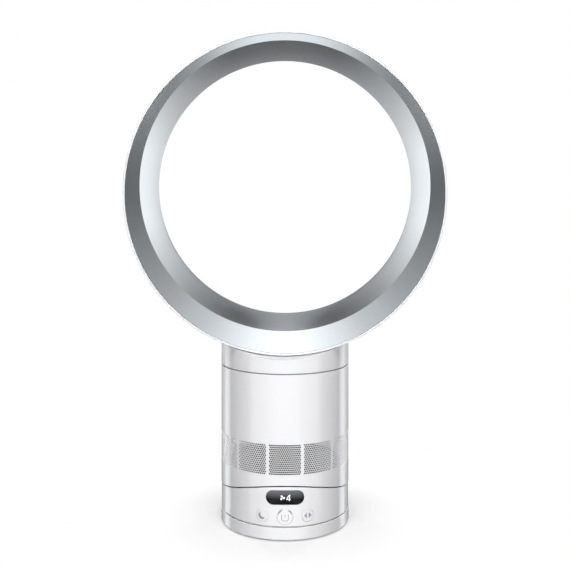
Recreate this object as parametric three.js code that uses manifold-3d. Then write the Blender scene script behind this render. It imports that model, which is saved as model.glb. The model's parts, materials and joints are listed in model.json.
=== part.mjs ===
// A bladeless desk fan: a round base, a control section that oscillates on it, a column
// that tilts on the control section and draws air in through a perforated band, and a ring
// nozzle on top, which lets the air out through a narrow slot round the back of its bore.
//
// Millimetres, +Z up, origin on the table under the column's axis. The front faces -Y.

import * as THREE from 'three';
import { mergeGeometries, mergeVertices } from 'three/addons/utils/BufferGeometryUtils.js';
import Module from 'manifold-3d';

const wasm = await Module();
wasm.setup();

// ---- Driving dimensions ----------------------------------------------------------------

// Fits
const CLEARANCE = 0.3;             // between faces that seat on or slide over each other
const SEAM = 0.8;                  // open joint line between two outer casings

// Column
const COLUMN_RADIUS = 73;
const COLUMN_WALL = 2.4;
const CONTROL_INSET = 0.4;         // the control section stands a little inside the column
const CONTROL_RADIUS = COLUMN_RADIUS - CONTROL_INSET;
const SEAT_DEPTH = 3.2;            // blocks inside the casings, which plates seat on
const SEAT_WIDTH = 12;
const SEAT_HEIGHT = 2.5;
const BASE_TOP = 14.8;             // top edge of the base casing
const CASING_TOP = 178.9;          // top edge of the perforated body casing

// Base and foot
const FOOT_INSET = 8;              // middle of the foot ring, in from the casing's outside
const FOOT_RADIUS = COLUMN_RADIUS - FOOT_INSET;
const FOOT_WIDTH = 6;
const FOOT_HEIGHT = 3.2;
const BASE_LIFT = 1.5;             // the base casing stands this far off the table
const BASE_FLOOR_THICKNESS = 3.5;
const BAND_WIDTH = 5.2;            // thick band inside the base that carries the thrust ring
const BAND_TOP = 12.4;
const THRUST_RING_WIDTH = 4;
const PINION_GAP = 3.8;            // between the drive pinion's teeth and that band
const INLET_BORE = 2.2;            // radius of the power inlet at the back of the base
const GLAND_WALL = 0.8;
const GLAND_LIP = 0.5;

// Pivot and oscillation drive
const PIVOT_RADIUS = 12;
const PIVOT_BORE = 8;
const HUB_WALL = 2.6;
const HUB_HEIGHT = 3.9;
const CLIP_THICKNESS = 2;
const CLIP_DEPTH = 1.2;            // depth of the clip's groove in the pivot
const CLIP_WIDTH = 5;
const FIXED_GEAR_TEETH = 36;
const PINION_TEETH = 12;
const GEAR_WIDTH = 6.2;
const GEAR_ADDENDUM = 0.8;         // in modules, above the pitch circle
const GEAR_DEDENDUM = 1.15;        // in modules, below it
const GEAR_BACKLASH = 0.5;
const PRESSURE_ANGLE = 20;
const PINION_SHAFT_RADIUS = 3;
const DRIVE_MOTOR_GAP = 8.2;       // between the drive motor and the casing
const DRIVE_MOTOR_HEIGHT = 15;
const DRIVE_MOTOR_EAR = 4;

// Control section
const CONTROL_FLOOR_THICKNESS = 2.5;
const DISPLAY_WIDTH = 41;
const DISPLAY_HEIGHT = 15.4;
const DISPLAY_CENTRE = 47;         // height above the table
const DISPLAY_MODULE_DEPTH = 9;
const BUTTON_CENTRE = 26.7;        // height above the table
const POWER_BUTTON_RADIUS = 8.5;
const SIDE_BUTTON_RADIUS = 6.65;
const SIDE_BUTTON_ANGLE = 19.8;
const BUTTON_FLANGE = 1.5;
const BUTTON_FLANGE_THICKNESS = 1.2;
const BUTTON_TRAVEL = 0.8;
const BOARD_THICKNESS = 1.6;
const SWITCH_BOARD_SETBACK = 15;   // behind the front of the control section
const SWITCH_BOARD_WIDTH = 62;
const SWITCH_RADIUS = 1.8;
const CONTROL_BOARD_WIDTH = 70;
const CONTROL_BOARD_DEPTH = 30;
const BOARD_GAP = 4;               // between the control board and the upright one
const COMPONENT_HEIGHT = 8;
const CAPACITOR_RADIUS = 4;
const STANDOFF_HEIGHT = 3.6;
const STANDOFF_RADIUS = 2.4;

// Tilt: the column's curved foot slides in a curved cradle round a level axis above it
const TILT_SEAM_HEIGHT = 43.5;     // lowest point of the curved seam
const TILT_RADIUS = 175;           // from the tilt axis to the middle of the seam
const TILT_LIMIT = 10;             // degrees each way
const SHOE_THICKNESS = 2.5;
const CRADLE_THICKNESS = 3;
const POST_OFFSET = 34;            // sideways, from the middle to each post of the shoe
const POST_WIDTH = 7;
const POST_LENGTH = 20;
const KEEPER_WIDTH = 16;
const KEEPER_LENGTH = 32;
const KEEPER_THICKNESS = 2.5;
const STANDOFF_COUNT = 3;

// Perforated inlet band of the body casing
const GRILLE_BOTTOM = 71;
const GRILLE_TOP = 103.8;
const GRILLE_PANELS = 12;
const GRILLE_STRIP = 2.5;          // solid strip between two perforated panels
const GRILLE_PITCH = 11.2;
const GRILLE_HOLE = 4;             // radius

// Fan unit inside the body casing
const FAN_BOARD_RADIUS = 44;
const FAN_BOARD_LIFT = 5.9;        // between the shoe and the board's edge
const CHOKE_RADIUS = 6;
const CHOKE_HEIGHT = 3.4;
const CHIP_WIDTH = 15;
const CHIP_HEIGHT = 2.4;
const INLET_FOAM_LIFT = 2.45;      // between the shoe's rim and the foam
const INLET_FOAM_THICKNESS = 5;
const INLET_FOAM_GAP = 6.6;        // between the foam and the casing
const INLET_FOAM_RADIUS = COLUMN_RADIUS - COLUMN_WALL - INLET_FOAM_GAP;
const IMPELLER_BOTTOM = 108;
const IMPELLER_HEIGHT = 26;
const IMPELLER_FLARE = 15;         // how much wider the blades' tips are at the top
const INLET_PASSAGE = 27;          // between hub and tips, where the air comes in
const OUTLET_PASSAGE = 19;         // between hub and tips, where the air leaves
const IMPELLER_BLADES = 9;
const BLADE_THICKNESS = 1.6;
const BLADE_SWEEP = 62;            // degrees that a blade winds round the hub
const SHROUD_THICKNESS = 1.4;
const RUNNING_GAP = 1.5;           // between the turning fan and its housing
const HOUSING_WALL = 2;
const BELL_WIDTH = 12;
const BELL_DROP = 5;
const SHAFT_RADIUS = 3;
const BUCKET_WALL = 1.8;
const MOTOR_HEIGHT = 20;
const VANE_PASSAGE = 24.1;         // between the motor's bucket and the fan housing
const VANE_COUNT = 7;
const VANE_SWEEP = 32;
const VANE_THICKNESS = 2.4;
const VANE_HEIGHT = 14;
const VANE_RING = 1.6;
const FLANGE_HEIGHT = 155.6;       // underside of the fan housing's flange
const FLANGE_THICKNESS = 2;
const SEAL_THICKNESS = 3;
const SEAL_WIDTH = 11.8;           // between the fan housing and the casing
const OUTLET_FOAM_THICKNESS = 8;
const OUTLET_FOAM_WIDTH = 8;
const TOP_RING_WIDTH = 6;
const SPIGOT_HEIGHT = 8;           // how far the top ring reaches into the nozzle's neck
const NECK_SEAL_THICKNESS = 2;

// Ring nozzle: its bore sits higher than its outside, so the ring is thickest at the bottom
const THROAT_RADIUS = 149.2;       // narrowest part of the bore
const RING_WIDTH = 29.1;           // ring's outside less its throat
const BORE_OFFSET = 7.1;           // height of the bore's axis above the outer circle's centre
const NECK_HEIGHT = 15.2;          // from the neck's bottom edge to the ring's lowest point
const RING_DEPTH = 102;
const RING_WALL = 2.3;
const LIP_ROUND = 0.8;             // rounding of the outer casing's front edge
const NOSE_DEPTH = 15;             // rounded back edge of the ring
const TAIL_LENGTH = 7;             // forward reach of the outer casing inside the bore
const TAIL_TIP = 0.9;
const MOUTH_GAP = 1.3;             // air slot
const INNER_WALL = 2;
const LIP_REACH = 5;               // how far the inner casing's back lip passes the slot
const BORE_FLARE = 12.6;           // from the throat's radius to that of the front crease
const CREASE_SETBACK = 15;
const CREASE_LEAN = 4;             // the crease lies this much deeper at the bottom
const AIRWAY_HALF_DEPTH = 32;      // opening from the neck into the ring

// Facets
const COLUMN_SEGMENTS = 36;
const INNER_SEGMENTS = 18;         // half the column's, so that nested corners line up
const RING_SEGMENTS = 40;
const TILT_SEGMENTS = 72;
const BUTTON_SEGMENTS = 16;
const HOLE_SEGMENTS = 6;
const SMALL_SEGMENTS = 12;
const POST_SEGMENTS = 8;

// ---- Sizes that follow from them -------------------------------------------------------

const degrees = THREE.MathUtils.degToRad;

// Height of an arc round the tilt axis, so far in front of the axis or behind it.
function heightOfArc(radius, y) {
  return TILT_AXIS_HEIGHT - Math.sqrt(radius ** 2 - y ** 2);
}

const columnBore = COLUMN_RADIUS - COLUMN_WALL;
const controlBore = CONTROL_RADIUS - COLUMN_WALL;
const bandBore = columnBore - BAND_WIDTH;
const baseFloorTop = BASE_LIFT + BASE_FLOOR_THICKNESS;
const gearBottom = baseFloorTop + CLEARANCE;
const controlBottom = BASE_TOP + SEAM;
const controlFloorTop = controlBottom + CONTROL_FLOOR_THICKNESS;
const hubTop = controlBottom + HUB_HEIGHT;
const clipBottom = hubTop + CLEARANCE;
const pivotTop = clipBottom + CLIP_THICKNESS + CLEARANCE + CLIP_DEPTH;
const gearReach = FIXED_GEAR_TEETH / 2 + PINION_TEETH + GEAR_ADDENDUM;
const GEAR_MODULE = (bandBore - PINION_GAP) / gearReach;
const gearCentreDistance = GEAR_MODULE * (FIXED_GEAR_TEETH + PINION_TEETH) / 2;
const DRIVE_MOTOR_RADIUS = controlBore - DRIVE_MOTOR_GAP - gearCentreDistance;
const driveMotorBottom = controlFloorTop + CLEARANCE;
const TILT_AXIS_HEIGHT = TILT_SEAM_HEIGHT + TILT_RADIUS;
const shoeRadius = TILT_RADIUS - SEAM / 2;
const shoeTop = shoeRadius - SHOE_THICKNESS;
const cradleRadius = TILT_RADIUS + SEAM / 2;
const cradleBack = cradleRadius + CRADLE_THICKNESS;
const postEnd = cradleBack + CLEARANCE;
const keeperRadius = postEnd + CLEARANCE;
const FAN_BOARD_HEIGHT = heightOfArc(shoeTop, FAN_BOARD_RADIUS) + FAN_BOARD_LIFT;
const INLET_FOAM_BOTTOM = heightOfArc(shoeTop, columnBore) + INLET_FOAM_LIFT;
const housingOutside = columnBore - 2 * CLEARANCE - SEAL_WIDTH;
const housingBore = housingOutside - HOUSING_WALL;
const IMPELLER_TIP = housingBore - RUNNING_GAP - SHROUD_THICKNESS - CLEARANCE;
const IMPELLER_EYE = IMPELLER_TIP - IMPELLER_FLARE;
const IMPELLER_HUB = IMPELLER_TIP - OUTLET_PASSAGE;
const IMPELLER_NOSE = IMPELLER_EYE - INLET_PASSAGE;
const impellerTop = IMPELLER_BOTTOM + IMPELLER_HEIGHT;
const bucketBottom = impellerTop + RUNNING_GAP;
const bucketRadius = housingBore - VANE_PASSAGE;
const MOTOR_RADIUS = bucketRadius - BUCKET_WALL - CLEARANCE;
const motorBottom = bucketBottom + BUCKET_WALL + CLEARANCE;
const motorTop = motorBottom + MOTOR_HEIGHT;
const bucketJoint = motorBottom + MOTOR_HEIGHT / 2;
const housingEye = housingBore - IMPELLER_FLARE;
const housingBottom = IMPELLER_BOTTOM - RUNNING_GAP;
const fanSeatTop = FLANGE_HEIGHT - SEAL_THICKNESS - 2 * CLEARANCE;
const flangeTop = FLANGE_HEIGHT + FLANGE_THICKNESS;
const outletFoamTop = flangeTop + CLEARANCE + OUTLET_FOAM_THICKNESS;
const topRingBottom = outletFoamTop + CLEARANCE;
const neckBottom = CASING_TOP + SEAM;
const spigotTop = neckBottom + SPIGOT_HEIGHT;
const RING_RADIUS = THROAT_RADIUS + RING_WIDTH;
const RING_CENTRE = neckBottom + NECK_HEIGHT + RING_RADIUS;
const boreHeight = RING_CENTRE + BORE_OFFSET;
const CREASE_RADIUS = THROAT_RADIUS + BORE_FLARE;
const ringFront = -RING_DEPTH / 2;
const noseStart = RING_DEPTH / 2 - NOSE_DEPTH;

// ---- Solids ----------------------------------------------------------------------------

// Six times the volume of a closed triangle mesh, negative where its faces point inward.
function signedVolume(vertices, triangles) {
  const a = new THREE.Vector3();
  const b = new THREE.Vector3();
  const c = new THREE.Vector3();
  let sum = 0;
  for (let i = 0; i < triangles.length; i += 3) {
    a.fromArray(vertices, 3 * triangles[i]);
    b.fromArray(vertices, 3 * triangles[i + 1]);
    c.fromArray(vertices, 3 * triangles[i + 2]);
    sum += a.dot(b.cross(c));
  }
  return sum;
}

// A closed geometry as a solid, with its corners merged and its faces pointing out.
function solid(geometry) {
  const bare = new THREE.BufferGeometry();
  bare.setAttribute('position', geometry.getAttribute('position'));
  bare.setIndex(geometry.getIndex());
  const merged = mergeVertices(bare);
  const vertices = merged.getAttribute('position').array;
  const corners = merged.getIndex().array;
  const triangles = [];
  for (let i = 0; i < corners.length; i += 3) {
    const [a, b, c] = [corners[i], corners[i + 1], corners[i + 2]];
    if (a !== b && b !== c && c !== a) {
      triangles.push(a, b, c);
    }
  }
  if (signedVolume(vertices, triangles) < 0) {
    triangles.reverse();
  }
  return new wasm.Manifold(new wasm.Mesh({
    numProp: 3,
    vertProperties: new Float32Array(vertices),
    triVerts: new Uint32Array(triangles),
  }));
}

function geometryOf(body) {
  const mesh = body.getMesh();
  const geometry = new THREE.BufferGeometry();
  geometry.setAttribute('position', new THREE.BufferAttribute(mesh.vertProperties, 3));
  geometry.setIndex(new THREE.BufferAttribute(mesh.triVerts, 1));
  geometry.computeVertexNormals();
  return geometry;
}

function join(first, ...others) {
  return others.reduce((whole, next) => whole.add(next), first);
}

function cut(first, ...others) {
  return others.reduce((whole, next) => whole.subtract(next), first);
}

// Turns a closed outline of [radius, height] points round the Z axis.
function revolve(outline, segments) {
  const points = [...outline, outline[0]].map(([r, z]) => new THREE.Vector2(r, z));
  return solid(new THREE.LatheGeometry(points, segments).rotateX(Math.PI / 2));
}

function ring(innerRadius, outerRadius, bottom, top, segments) {
  const outline = [
    [innerRadius, bottom], [outerRadius, bottom], [outerRadius, top], [innerRadius, top],
  ];
  return revolve(outline, segments);
}

// A round bar or disc along Z.
function disc(radius, bottom, top, segments, x = 0, y = 0) {
  const geometry = new THREE.CylinderGeometry(radius, radius, top - bottom, segments);
  return solid(geometry.rotateX(Math.PI / 2).translate(x, y, (bottom + top) / 2));
}

// A round bar along Y, centred over x = 0.
function barAlongY(radius, from, to, height, segments) {
  const geometry = new THREE.CylinderGeometry(radius, radius, to - from, segments);
  return solid(geometry.translate(0, (from + to) / 2, height));
}

// A round bar across the whole column, centred on the tilt axis.
function tiltBar(radius) {
  const geometry = new THREE.CylinderGeometry(radius, radius, 4 * COLUMN_RADIUS, TILT_SEGMENTS);
  return solid(geometry.rotateZ(Math.PI / 2).translate(0, 0, TILT_AXIS_HEIGHT));
}

function block(x0, x1, y0, y1, z0, z1) {
  const geometry = new THREE.BoxGeometry(x1 - x0, y1 - y0, z1 - z0);
  return solid(geometry.translate((x0 + x1) / 2, (y0 + y1) / 2, (z0 + z1) / 2));
}

// Joins sections of equally many corners into one body, round a ring or with flat ends. The
// two halves of an outline are split the same way, so that a thin twisted blade stays thick.
function loft(sections, closesOnItself) {
  const count = sections[0].length;
  const positions = sections.flat().flatMap((corner) => corner.toArray());
  const triangles = [];
  const spans = closesOnItself ? sections.length : sections.length - 1;
  for (let i = 0; i < spans; i++) {
    const here = i * count;
    const next = ((i + 1) % sections.length) * count;
    for (let j = 0; j < count; j++) {
      const k = (j + 1) % count;
      if (j < count / 2) {
        triangles.push(here + j, next + j, next + k, here + j, next + k, here + k);
      } else {
        triangles.push(here + j, next + j, here + k, next + j, next + k, here + k);
      }
    }
  }
  if (!closesOnItself) {
    const last = (sections.length - 1) * count;
    for (let j = 1; j < count - 1; j++) {
      triangles.push(0, j, j + 1, last, last + j + 1, last + j);
    }
  }
  const geometry = new THREE.BufferGeometry();
  geometry.setAttribute('position', new THREE.Float32BufferAttribute(positions, 3));
  geometry.setIndex(triangles);
  return solid(geometry);
}

// A curved plate between two radii of the tilt axis, centred on x, as wide as said along X
// and reaching halfAngle degrees to the front and the back of straight down.
function tiltPlate(innerRadius, outerRadius, x, width, halfAngle) {
  const down = -Math.PI / 2;
  const reach = degrees(halfAngle);
  const outline = new THREE.Shape();
  outline.absarc(0, 0, outerRadius, down - reach, down + reach, false);
  outline.absarc(0, 0, innerRadius, down + reach, down - reach, true);
  const steps = Math.max(2, Math.ceil(halfAngle * TILT_SEGMENTS / 180));
  const geometry = new THREE.ExtrudeGeometry(outline, {
    depth: width, bevelEnabled: false, curveSegments: steps,
  });
  geometry.applyMatrix4(new THREE.Matrix4().makeBasis(
    new THREE.Vector3(0, 1, 0), new THREE.Vector3(0, 0, 1), new THREE.Vector3(1, 0, 0)));
  return solid(geometry.translate(x - width / 2, 0, TILT_AXIS_HEIGHT));
}

// Seats inside a round casing, at the given angles from the front.
function seats(bore, angles, bottom, top) {
  const seat = () => new THREE.BoxGeometry(SEAT_WIDTH, SEAT_DEPTH + CLEARANCE, top - bottom)
    .translate(0, -bore + (SEAT_DEPTH - CLEARANCE) / 2, (bottom + top) / 2);
  return solid(mergeGeometries(angles.map((angle) => seat().rotateZ(degrees(angle)))));
}

function arcAngle(length, radius) {
  return THREE.MathUtils.radToDeg(length / radius);
}

// ---- Base ------------------------------------------------------------------------------

const glandRadius = INLET_BORE + GLAND_WALL;
const inletHeight = baseFloorTop + CLEARANCE + glandRadius + GLAND_LIP;

function baseShell() {
  const wall = revolve([
    [COLUMN_RADIUS, BASE_LIFT],
    [COLUMN_RADIUS, BASE_TOP],
    [columnBore, BASE_TOP],
    [columnBore, BAND_TOP],
    [bandBore, BAND_TOP],
    [bandBore, gearBottom],
    [columnBore, gearBottom],
    [columnBore, BASE_LIFT],
  ], COLUMN_SEGMENTS);
  const inlet = barAlongY(glandRadius + CLEARANCE, bandBore - BAND_WIDTH,
    COLUMN_RADIUS + BAND_WIDTH, inletHeight, SMALL_SEGMENTS);
  return cut(wall, inlet);
}

function cableGland() {
  const lipRadius = glandRadius + GLAND_LIP;
  const outside = COLUMN_RADIUS - CLEARANCE;
  const inside = Math.sqrt(bandBore ** 2 - lipRadius ** 2) - 2 * CLEARANCE;
  const sleeve = barAlongY(glandRadius, inside - GLAND_LIP, outside, inletHeight,
    SMALL_SEGMENTS);
  const lip = barAlongY(lipRadius, inside - GLAND_LIP, inside, inletHeight, SMALL_SEGMENTS);
  const bore = barAlongY(INLET_BORE, inside - 2 * GLAND_LIP, outside + GLAND_LIP,
    inletHeight, SMALL_SEGMENTS);
  return cut(join(sleeve, lip), bore);
}

// Floor plate with the hollow pivot in its middle, a groove for the foot below and a groove
// for the clip near the pivot's top.
function baseFloor() {
  const grooveInside = FOOT_RADIUS - FOOT_WIDTH / 2 - CLEARANCE;
  const grooveOutside = FOOT_RADIUS + FOOT_WIDTH / 2 + CLEARANCE;
  const grooveTop = FOOT_HEIGHT + CLEARANCE;
  const rim = columnBore - CLEARANCE;
  const clipGroove = PIVOT_RADIUS - CLIP_DEPTH;
  const clipTop = clipBottom + CLIP_THICKNESS;
  return revolve([
    [PIVOT_BORE, BASE_LIFT],
    [grooveInside, BASE_LIFT],
    [grooveInside, grooveTop],
    [grooveOutside, grooveTop],
    [grooveOutside, BASE_LIFT],
    [rim, BASE_LIFT],
    [rim, baseFloorTop],
    [PIVOT_RADIUS, baseFloorTop],
    [PIVOT_RADIUS, clipBottom - CLEARANCE],
    [clipGroove, clipBottom - CLEARANCE],
    [clipGroove, clipTop + CLEARANCE],
    [PIVOT_RADIUS, clipTop + CLEARANCE],
    [PIVOT_RADIUS, pivotTop],
    [PIVOT_BORE, pivotTop],
  ], INNER_SEGMENTS);
}

function footRing() {
  return ring(FOOT_RADIUS - FOOT_WIDTH / 2, FOOT_RADIUS + FOOT_WIDTH / 2, 0, FOOT_HEIGHT,
    INNER_SEGMENTS);
}

function thrustRing() {
  const outside = columnBore - CLEARANCE;
  return ring(outside - THRUST_RING_WIDTH, outside, BAND_TOP + CLEARANCE,
    controlBottom - CLEARANCE, INNER_SEGMENTS);
}

// Angle that an involute has turned through where it has grown from its base circle to the
// given radius.
function involuteAngle(baseRadius, radius) {
  const growth = Math.sqrt(Math.max(0, (radius / baseRadius) ** 2 - 1));
  return growth - Math.atan(growth);
}

// Toothed outline with involute flanks. Tooth 0 points along the given angle.
function gearShape(teeth, firstTooth) {
  const pitchRadius = GEAR_MODULE * teeth / 2;
  const baseRadius = pitchRadius * Math.cos(degrees(PRESSURE_ANGLE));
  const tipRadius = pitchRadius + GEAR_ADDENDUM * GEAR_MODULE;
  const rootRadius = pitchRadius - GEAR_DEDENDUM * GEAR_MODULE;
  const pitchHalf = Math.PI / (2 * teeth) - GEAR_BACKLASH / (2 * pitchRadius);
  const halfAngleAt = (radius) =>
    pitchHalf + involuteAngle(baseRadius, pitchRadius) - involuteAngle(baseRadius, radius);
  const outline = [];
  for (let tooth = 0; tooth < teeth; tooth++) {
    const middle = firstTooth + tooth * 2 * Math.PI / teeth;
    const flank = [rootRadius, pitchRadius, tipRadius];
    for (const radius of flank) {
      outline.push(polar(radius, middle - halfAngleAt(radius)));
    }
    for (const radius of flank.reverse()) {
      outline.push(polar(radius, middle + halfAngleAt(radius)));
    }
  }
  return new THREE.Shape(outline);
}

function polar(radius, angle) {
  return new THREE.Vector2(radius * Math.cos(angle), radius * Math.sin(angle));
}

function extrudeUp(shape, bottom, height, curveSegments = SMALL_SEGMENTS) {
  const geometry = new THREE.ExtrudeGeometry(shape, {
    depth: height, bevelEnabled: false, curveSegments,
  });
  return solid(geometry.translate(0, 0, bottom));
}

function fixedGear() {
  const shape = gearShape(FIXED_GEAR_TEETH, Math.PI / 2);
  const bore = new THREE.Path();
  bore.absarc(0, 0, PIVOT_RADIUS + 2 * CLEARANCE, 0, 2 * Math.PI, true);
  shape.holes.push(bore);
  return extrudeUp(shape, gearBottom, GEAR_WIDTH);
}

// Open ring that snaps into the pivot's groove and holds the turntable down.
function pivotClip() {
  const inside = PIVOT_RADIUS - CLIP_DEPTH + CLEARANCE;
  const gap = degrees(35);
  const shape = new THREE.Shape();
  shape.absarc(0, 0, inside + CLIP_WIDTH, gap, 2 * Math.PI - gap, false);
  shape.absarc(0, 0, inside, 2 * Math.PI - gap, gap, true);
  return extrudeUp(shape, clipBottom, CLIP_THICKNESS, SMALL_SEGMENTS);
}

// ---- Oscillation drive -----------------------------------------------------------------

const driveMotorBore = PINION_SHAFT_RADIUS + CLEARANCE;
const shaftSeat = DRIVE_MOTOR_HEIGHT / 2;

// The pinion's own axis is its Z axis. A gap between two teeth faces the fixed gear.
function drivePinion() {
  const gapTurn = Math.PI / PINION_TEETH;
  const wheel = extrudeUp(gearShape(PINION_TEETH, -Math.PI / 2 + gapTurn), gearBottom, GEAR_WIDTH);
  const shaft = disc(PINION_SHAFT_RADIUS, gearBottom, driveMotorBottom + shaftSeat - CLEARANCE,
    SMALL_SEGMENTS);
  return join(wheel, shaft);
}

function driveMotor() {
  const y = gearCentreDistance;
  const top = driveMotorBottom + DRIVE_MOTOR_HEIGHT;
  const can = disc(DRIVE_MOTOR_RADIUS, driveMotorBottom, top, INNER_SEGMENTS, 0, y);
  const earReach = DRIVE_MOTOR_RADIUS + DRIVE_MOTOR_EAR;
  const ears = block(-earReach, earReach, y - DRIVE_MOTOR_EAR, y + DRIVE_MOTOR_EAR,
    driveMotorBottom, driveMotorBottom + BOARD_THICKNESS);
  const bore = disc(driveMotorBore, driveMotorBottom - CLEARANCE, driveMotorBottom + shaftSeat,
    SMALL_SEGMENTS, 0, y);
  return cut(join(can, ears), bore);
}

// ---- Control section -------------------------------------------------------------------

const buttons = [
  { name: 'sleep_button', angle: -SIDE_BUTTON_ANGLE, radius: SIDE_BUTTON_RADIUS },
  { name: 'power_button', angle: 0, radius: POWER_BUTTON_RADIUS },
  { name: 'oscillate_button', angle: SIDE_BUTTON_ANGLE, radius: SIDE_BUTTON_RADIUS },
];
const controlBoardHeight = controlFloorTop + STANDOFF_HEIGHT + CLEARANCE;
const switchBoardFront = -(CONTROL_RADIUS - SWITCH_BOARD_SETBACK);
const controlBoardFront = switchBoardFront + BOARD_THICKNESS + BOARD_GAP;
const controlBoardBack = controlBoardFront + CONTROL_BOARD_DEPTH;

function stadium(width, height) {
  const radius = height / 2;
  const reach = width / 2 - radius;
  const shape = new THREE.Shape();
  shape.absarc(reach, 0, radius, -Math.PI / 2, Math.PI / 2, false);
  shape.absarc(-reach, 0, radius, Math.PI / 2, 3 * Math.PI / 2, false);
  return shape;
}

// The display's outline, run through the front of the control section.
function displayPlug(grow) {
  const shape = stadium(DISPLAY_WIDTH + 2 * grow, DISPLAY_HEIGHT + 2 * grow);
  const geometry = new THREE.ExtrudeGeometry(shape, {
    depth: CONTROL_RADIUS, bevelEnabled: false, curveSegments: SMALL_SEGMENTS / 2,
  });
  return solid(geometry.rotateX(Math.PI / 2).translate(0, -CONTROL_RADIUS / 2, DISPLAY_CENTRE));
}

function buttonHole({ angle, radius }) {
  const geometry = new THREE.CylinderGeometry(
    radius + CLEARANCE, radius + CLEARANCE, CONTROL_RADIUS, BUTTON_SEGMENTS);
  geometry.translate(0, -CONTROL_RADIUS, BUTTON_CENTRE).rotateZ(degrees(angle));
  return solid(geometry);
}

// Outer casing of the control section. Its top edge is hollowed to the tilt radius. The
// floor seats under one row of seats, and the cradle on another.
function controlHousing() {
  const rim = TILT_AXIS_HEIGHT;
  const tube = ring(controlBore, CONTROL_RADIUS, controlBottom, rim, COLUMN_SEGMENTS)
    .subtract(tiltBar(cradleRadius));
  const floorSeatBottom = controlFloorTop + CLEARANCE;
  const floorSeats = seats(controlBore, [50, 130, 230, 310], floorSeatBottom,
    floorSeatBottom + SEAT_HEIGHT);
  const cradleSeats = seats(controlBore, [60, 120, 240, 300], controlFloorTop, rim)
    .subtract(tiltBar(cradleBack + CLEARANCE))
    .intersect(tiltBar(cradleBack + CLEARANCE + SEAT_HEIGHT));
  return cut(join(tube, floorSeats, cradleSeats), displayPlug(CLEARANCE),
    ...buttons.map(buttonHole));
}

function controlFloor() {
  const bore = PIVOT_RADIUS + CLEARANCE;
  const plate = revolve([
    [bore, controlBottom],
    [controlBore - CLEARANCE, controlBottom],
    [controlBore - CLEARANCE, controlFloorTop],
    [bore + HUB_WALL, controlFloorTop],
    [bore + HUB_WALL, hubTop],
    [bore, hubTop],
  ], INNER_SEGMENTS);
  const shaftHole = disc(driveMotorBore + CLEARANCE, controlBottom - SEAM, controlFloorTop + SEAM,
    SMALL_SEGMENTS, 0, gearCentreDistance);
  const postRows = [controlBoardFront + STANDOFF_RADIUS, controlBoardBack - STANDOFF_RADIUS];
  const postX = CONTROL_BOARD_WIDTH / 2 - 2 * STANDOFF_RADIUS;
  const posts = postRows.flatMap((y) => [-postX, postX].map((x) => disc(
    STANDOFF_RADIUS, controlBottom, controlFloorTop + STANDOFF_HEIGHT, POST_SEGMENTS, x, y)));
  return cut(join(plate, ...posts), shaftHole, ...buttons.map(buttonHole));
}

function displayWindow() {
  const skin = ring(controlBore + CLEARANCE, CONTROL_RADIUS, controlBottom, TILT_AXIS_HEIGHT,
    COLUMN_SEGMENTS);
  return displayPlug(0).intersect(skin);
}

// How far a button's back is from the casing's axis, when it isn't pressed.
function buttonBack(radius) {
  const halfWidth = radius + BUTTON_FLANGE;
  return Math.sqrt(controlBore ** 2 - halfWidth ** 2) - 2 * CLEARANCE - BUTTON_FLANGE_THICKNESS;
}

// A button as it stands at the front, before it is turned to its own place. Its face follows
// the round casing, and the ears at its sides hold it in from behind.
function button(radius) {
  const back = -buttonBack(radius);
  const halfWidth = radius + BUTTON_FLANGE;
  const face = barAlongY(radius, -CONTROL_RADIUS - SEAM, back, BUTTON_CENTRE, BUTTON_SEGMENTS)
    .intersect(disc(CONTROL_RADIUS, 0, 2 * BUTTON_CENTRE, 2 * COLUMN_SEGMENTS));
  const ears = block(-halfWidth, halfWidth, back - BUTTON_FLANGE_THICKNESS, back,
    BUTTON_CENTRE - radius / 2, BUTTON_CENTRE + radius / 2);
  return join(face, ears);
}

// Upright board behind the buttons, with one push switch for each.
function switchBoard() {
  const top = heightOfArc(cradleBack, switchBoardFront);
  const board = block(-SWITCH_BOARD_WIDTH / 2, SWITCH_BOARD_WIDTH / 2, switchBoardFront,
    switchBoardFront + BOARD_THICKNESS, controlFloorTop + CLEARANCE, top - BOARD_THICKNESS);
  const switches = buttons.map(({ angle, radius }) => {
    const lean = SWITCH_RADIUS * Math.sin(degrees(Math.abs(angle)));
    const reach = buttonBack(radius) - BUTTON_TRAVEL - CLEARANCE - lean;
    const x = reach * Math.sin(degrees(angle));
    const y = -reach * Math.cos(degrees(angle));
    const geometry = new THREE.CylinderGeometry(
      SWITCH_RADIUS, SWITCH_RADIUS, switchBoardFront + BOARD_THICKNESS / 2 - y, POST_SEGMENTS);
    return solid(geometry.translate(
      x, (switchBoardFront + BOARD_THICKNESS / 2 + y) / 2, BUTTON_CENTRE));
  });
  return join(board, ...switches);
}

// Light block of the display, carried on the switch board behind the window.
function displayModule() {
  const height = DISPLAY_HEIGHT / 2;
  const width = DISPLAY_WIDTH - DISPLAY_HEIGHT / 2;
  const back = switchBoardFront - CLEARANCE;
  const bottom = DISPLAY_CENTRE - DISPLAY_HEIGHT / 2 + CLEARANCE;
  const front = back - DISPLAY_MODULE_DEPTH;
  const body = block(-width / 2, width / 2, front, back, bottom, bottom + height);
  const cell = width / 4;
  const windows = [-1, 1].map((side) => block(
    side * cell - cell / 2, side * cell + cell / 2, front - CLEARANCE, front + BOARD_THICKNESS,
    bottom + height / 5, bottom + 4 * height / 5));
  return cut(body, ...windows);
}

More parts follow.
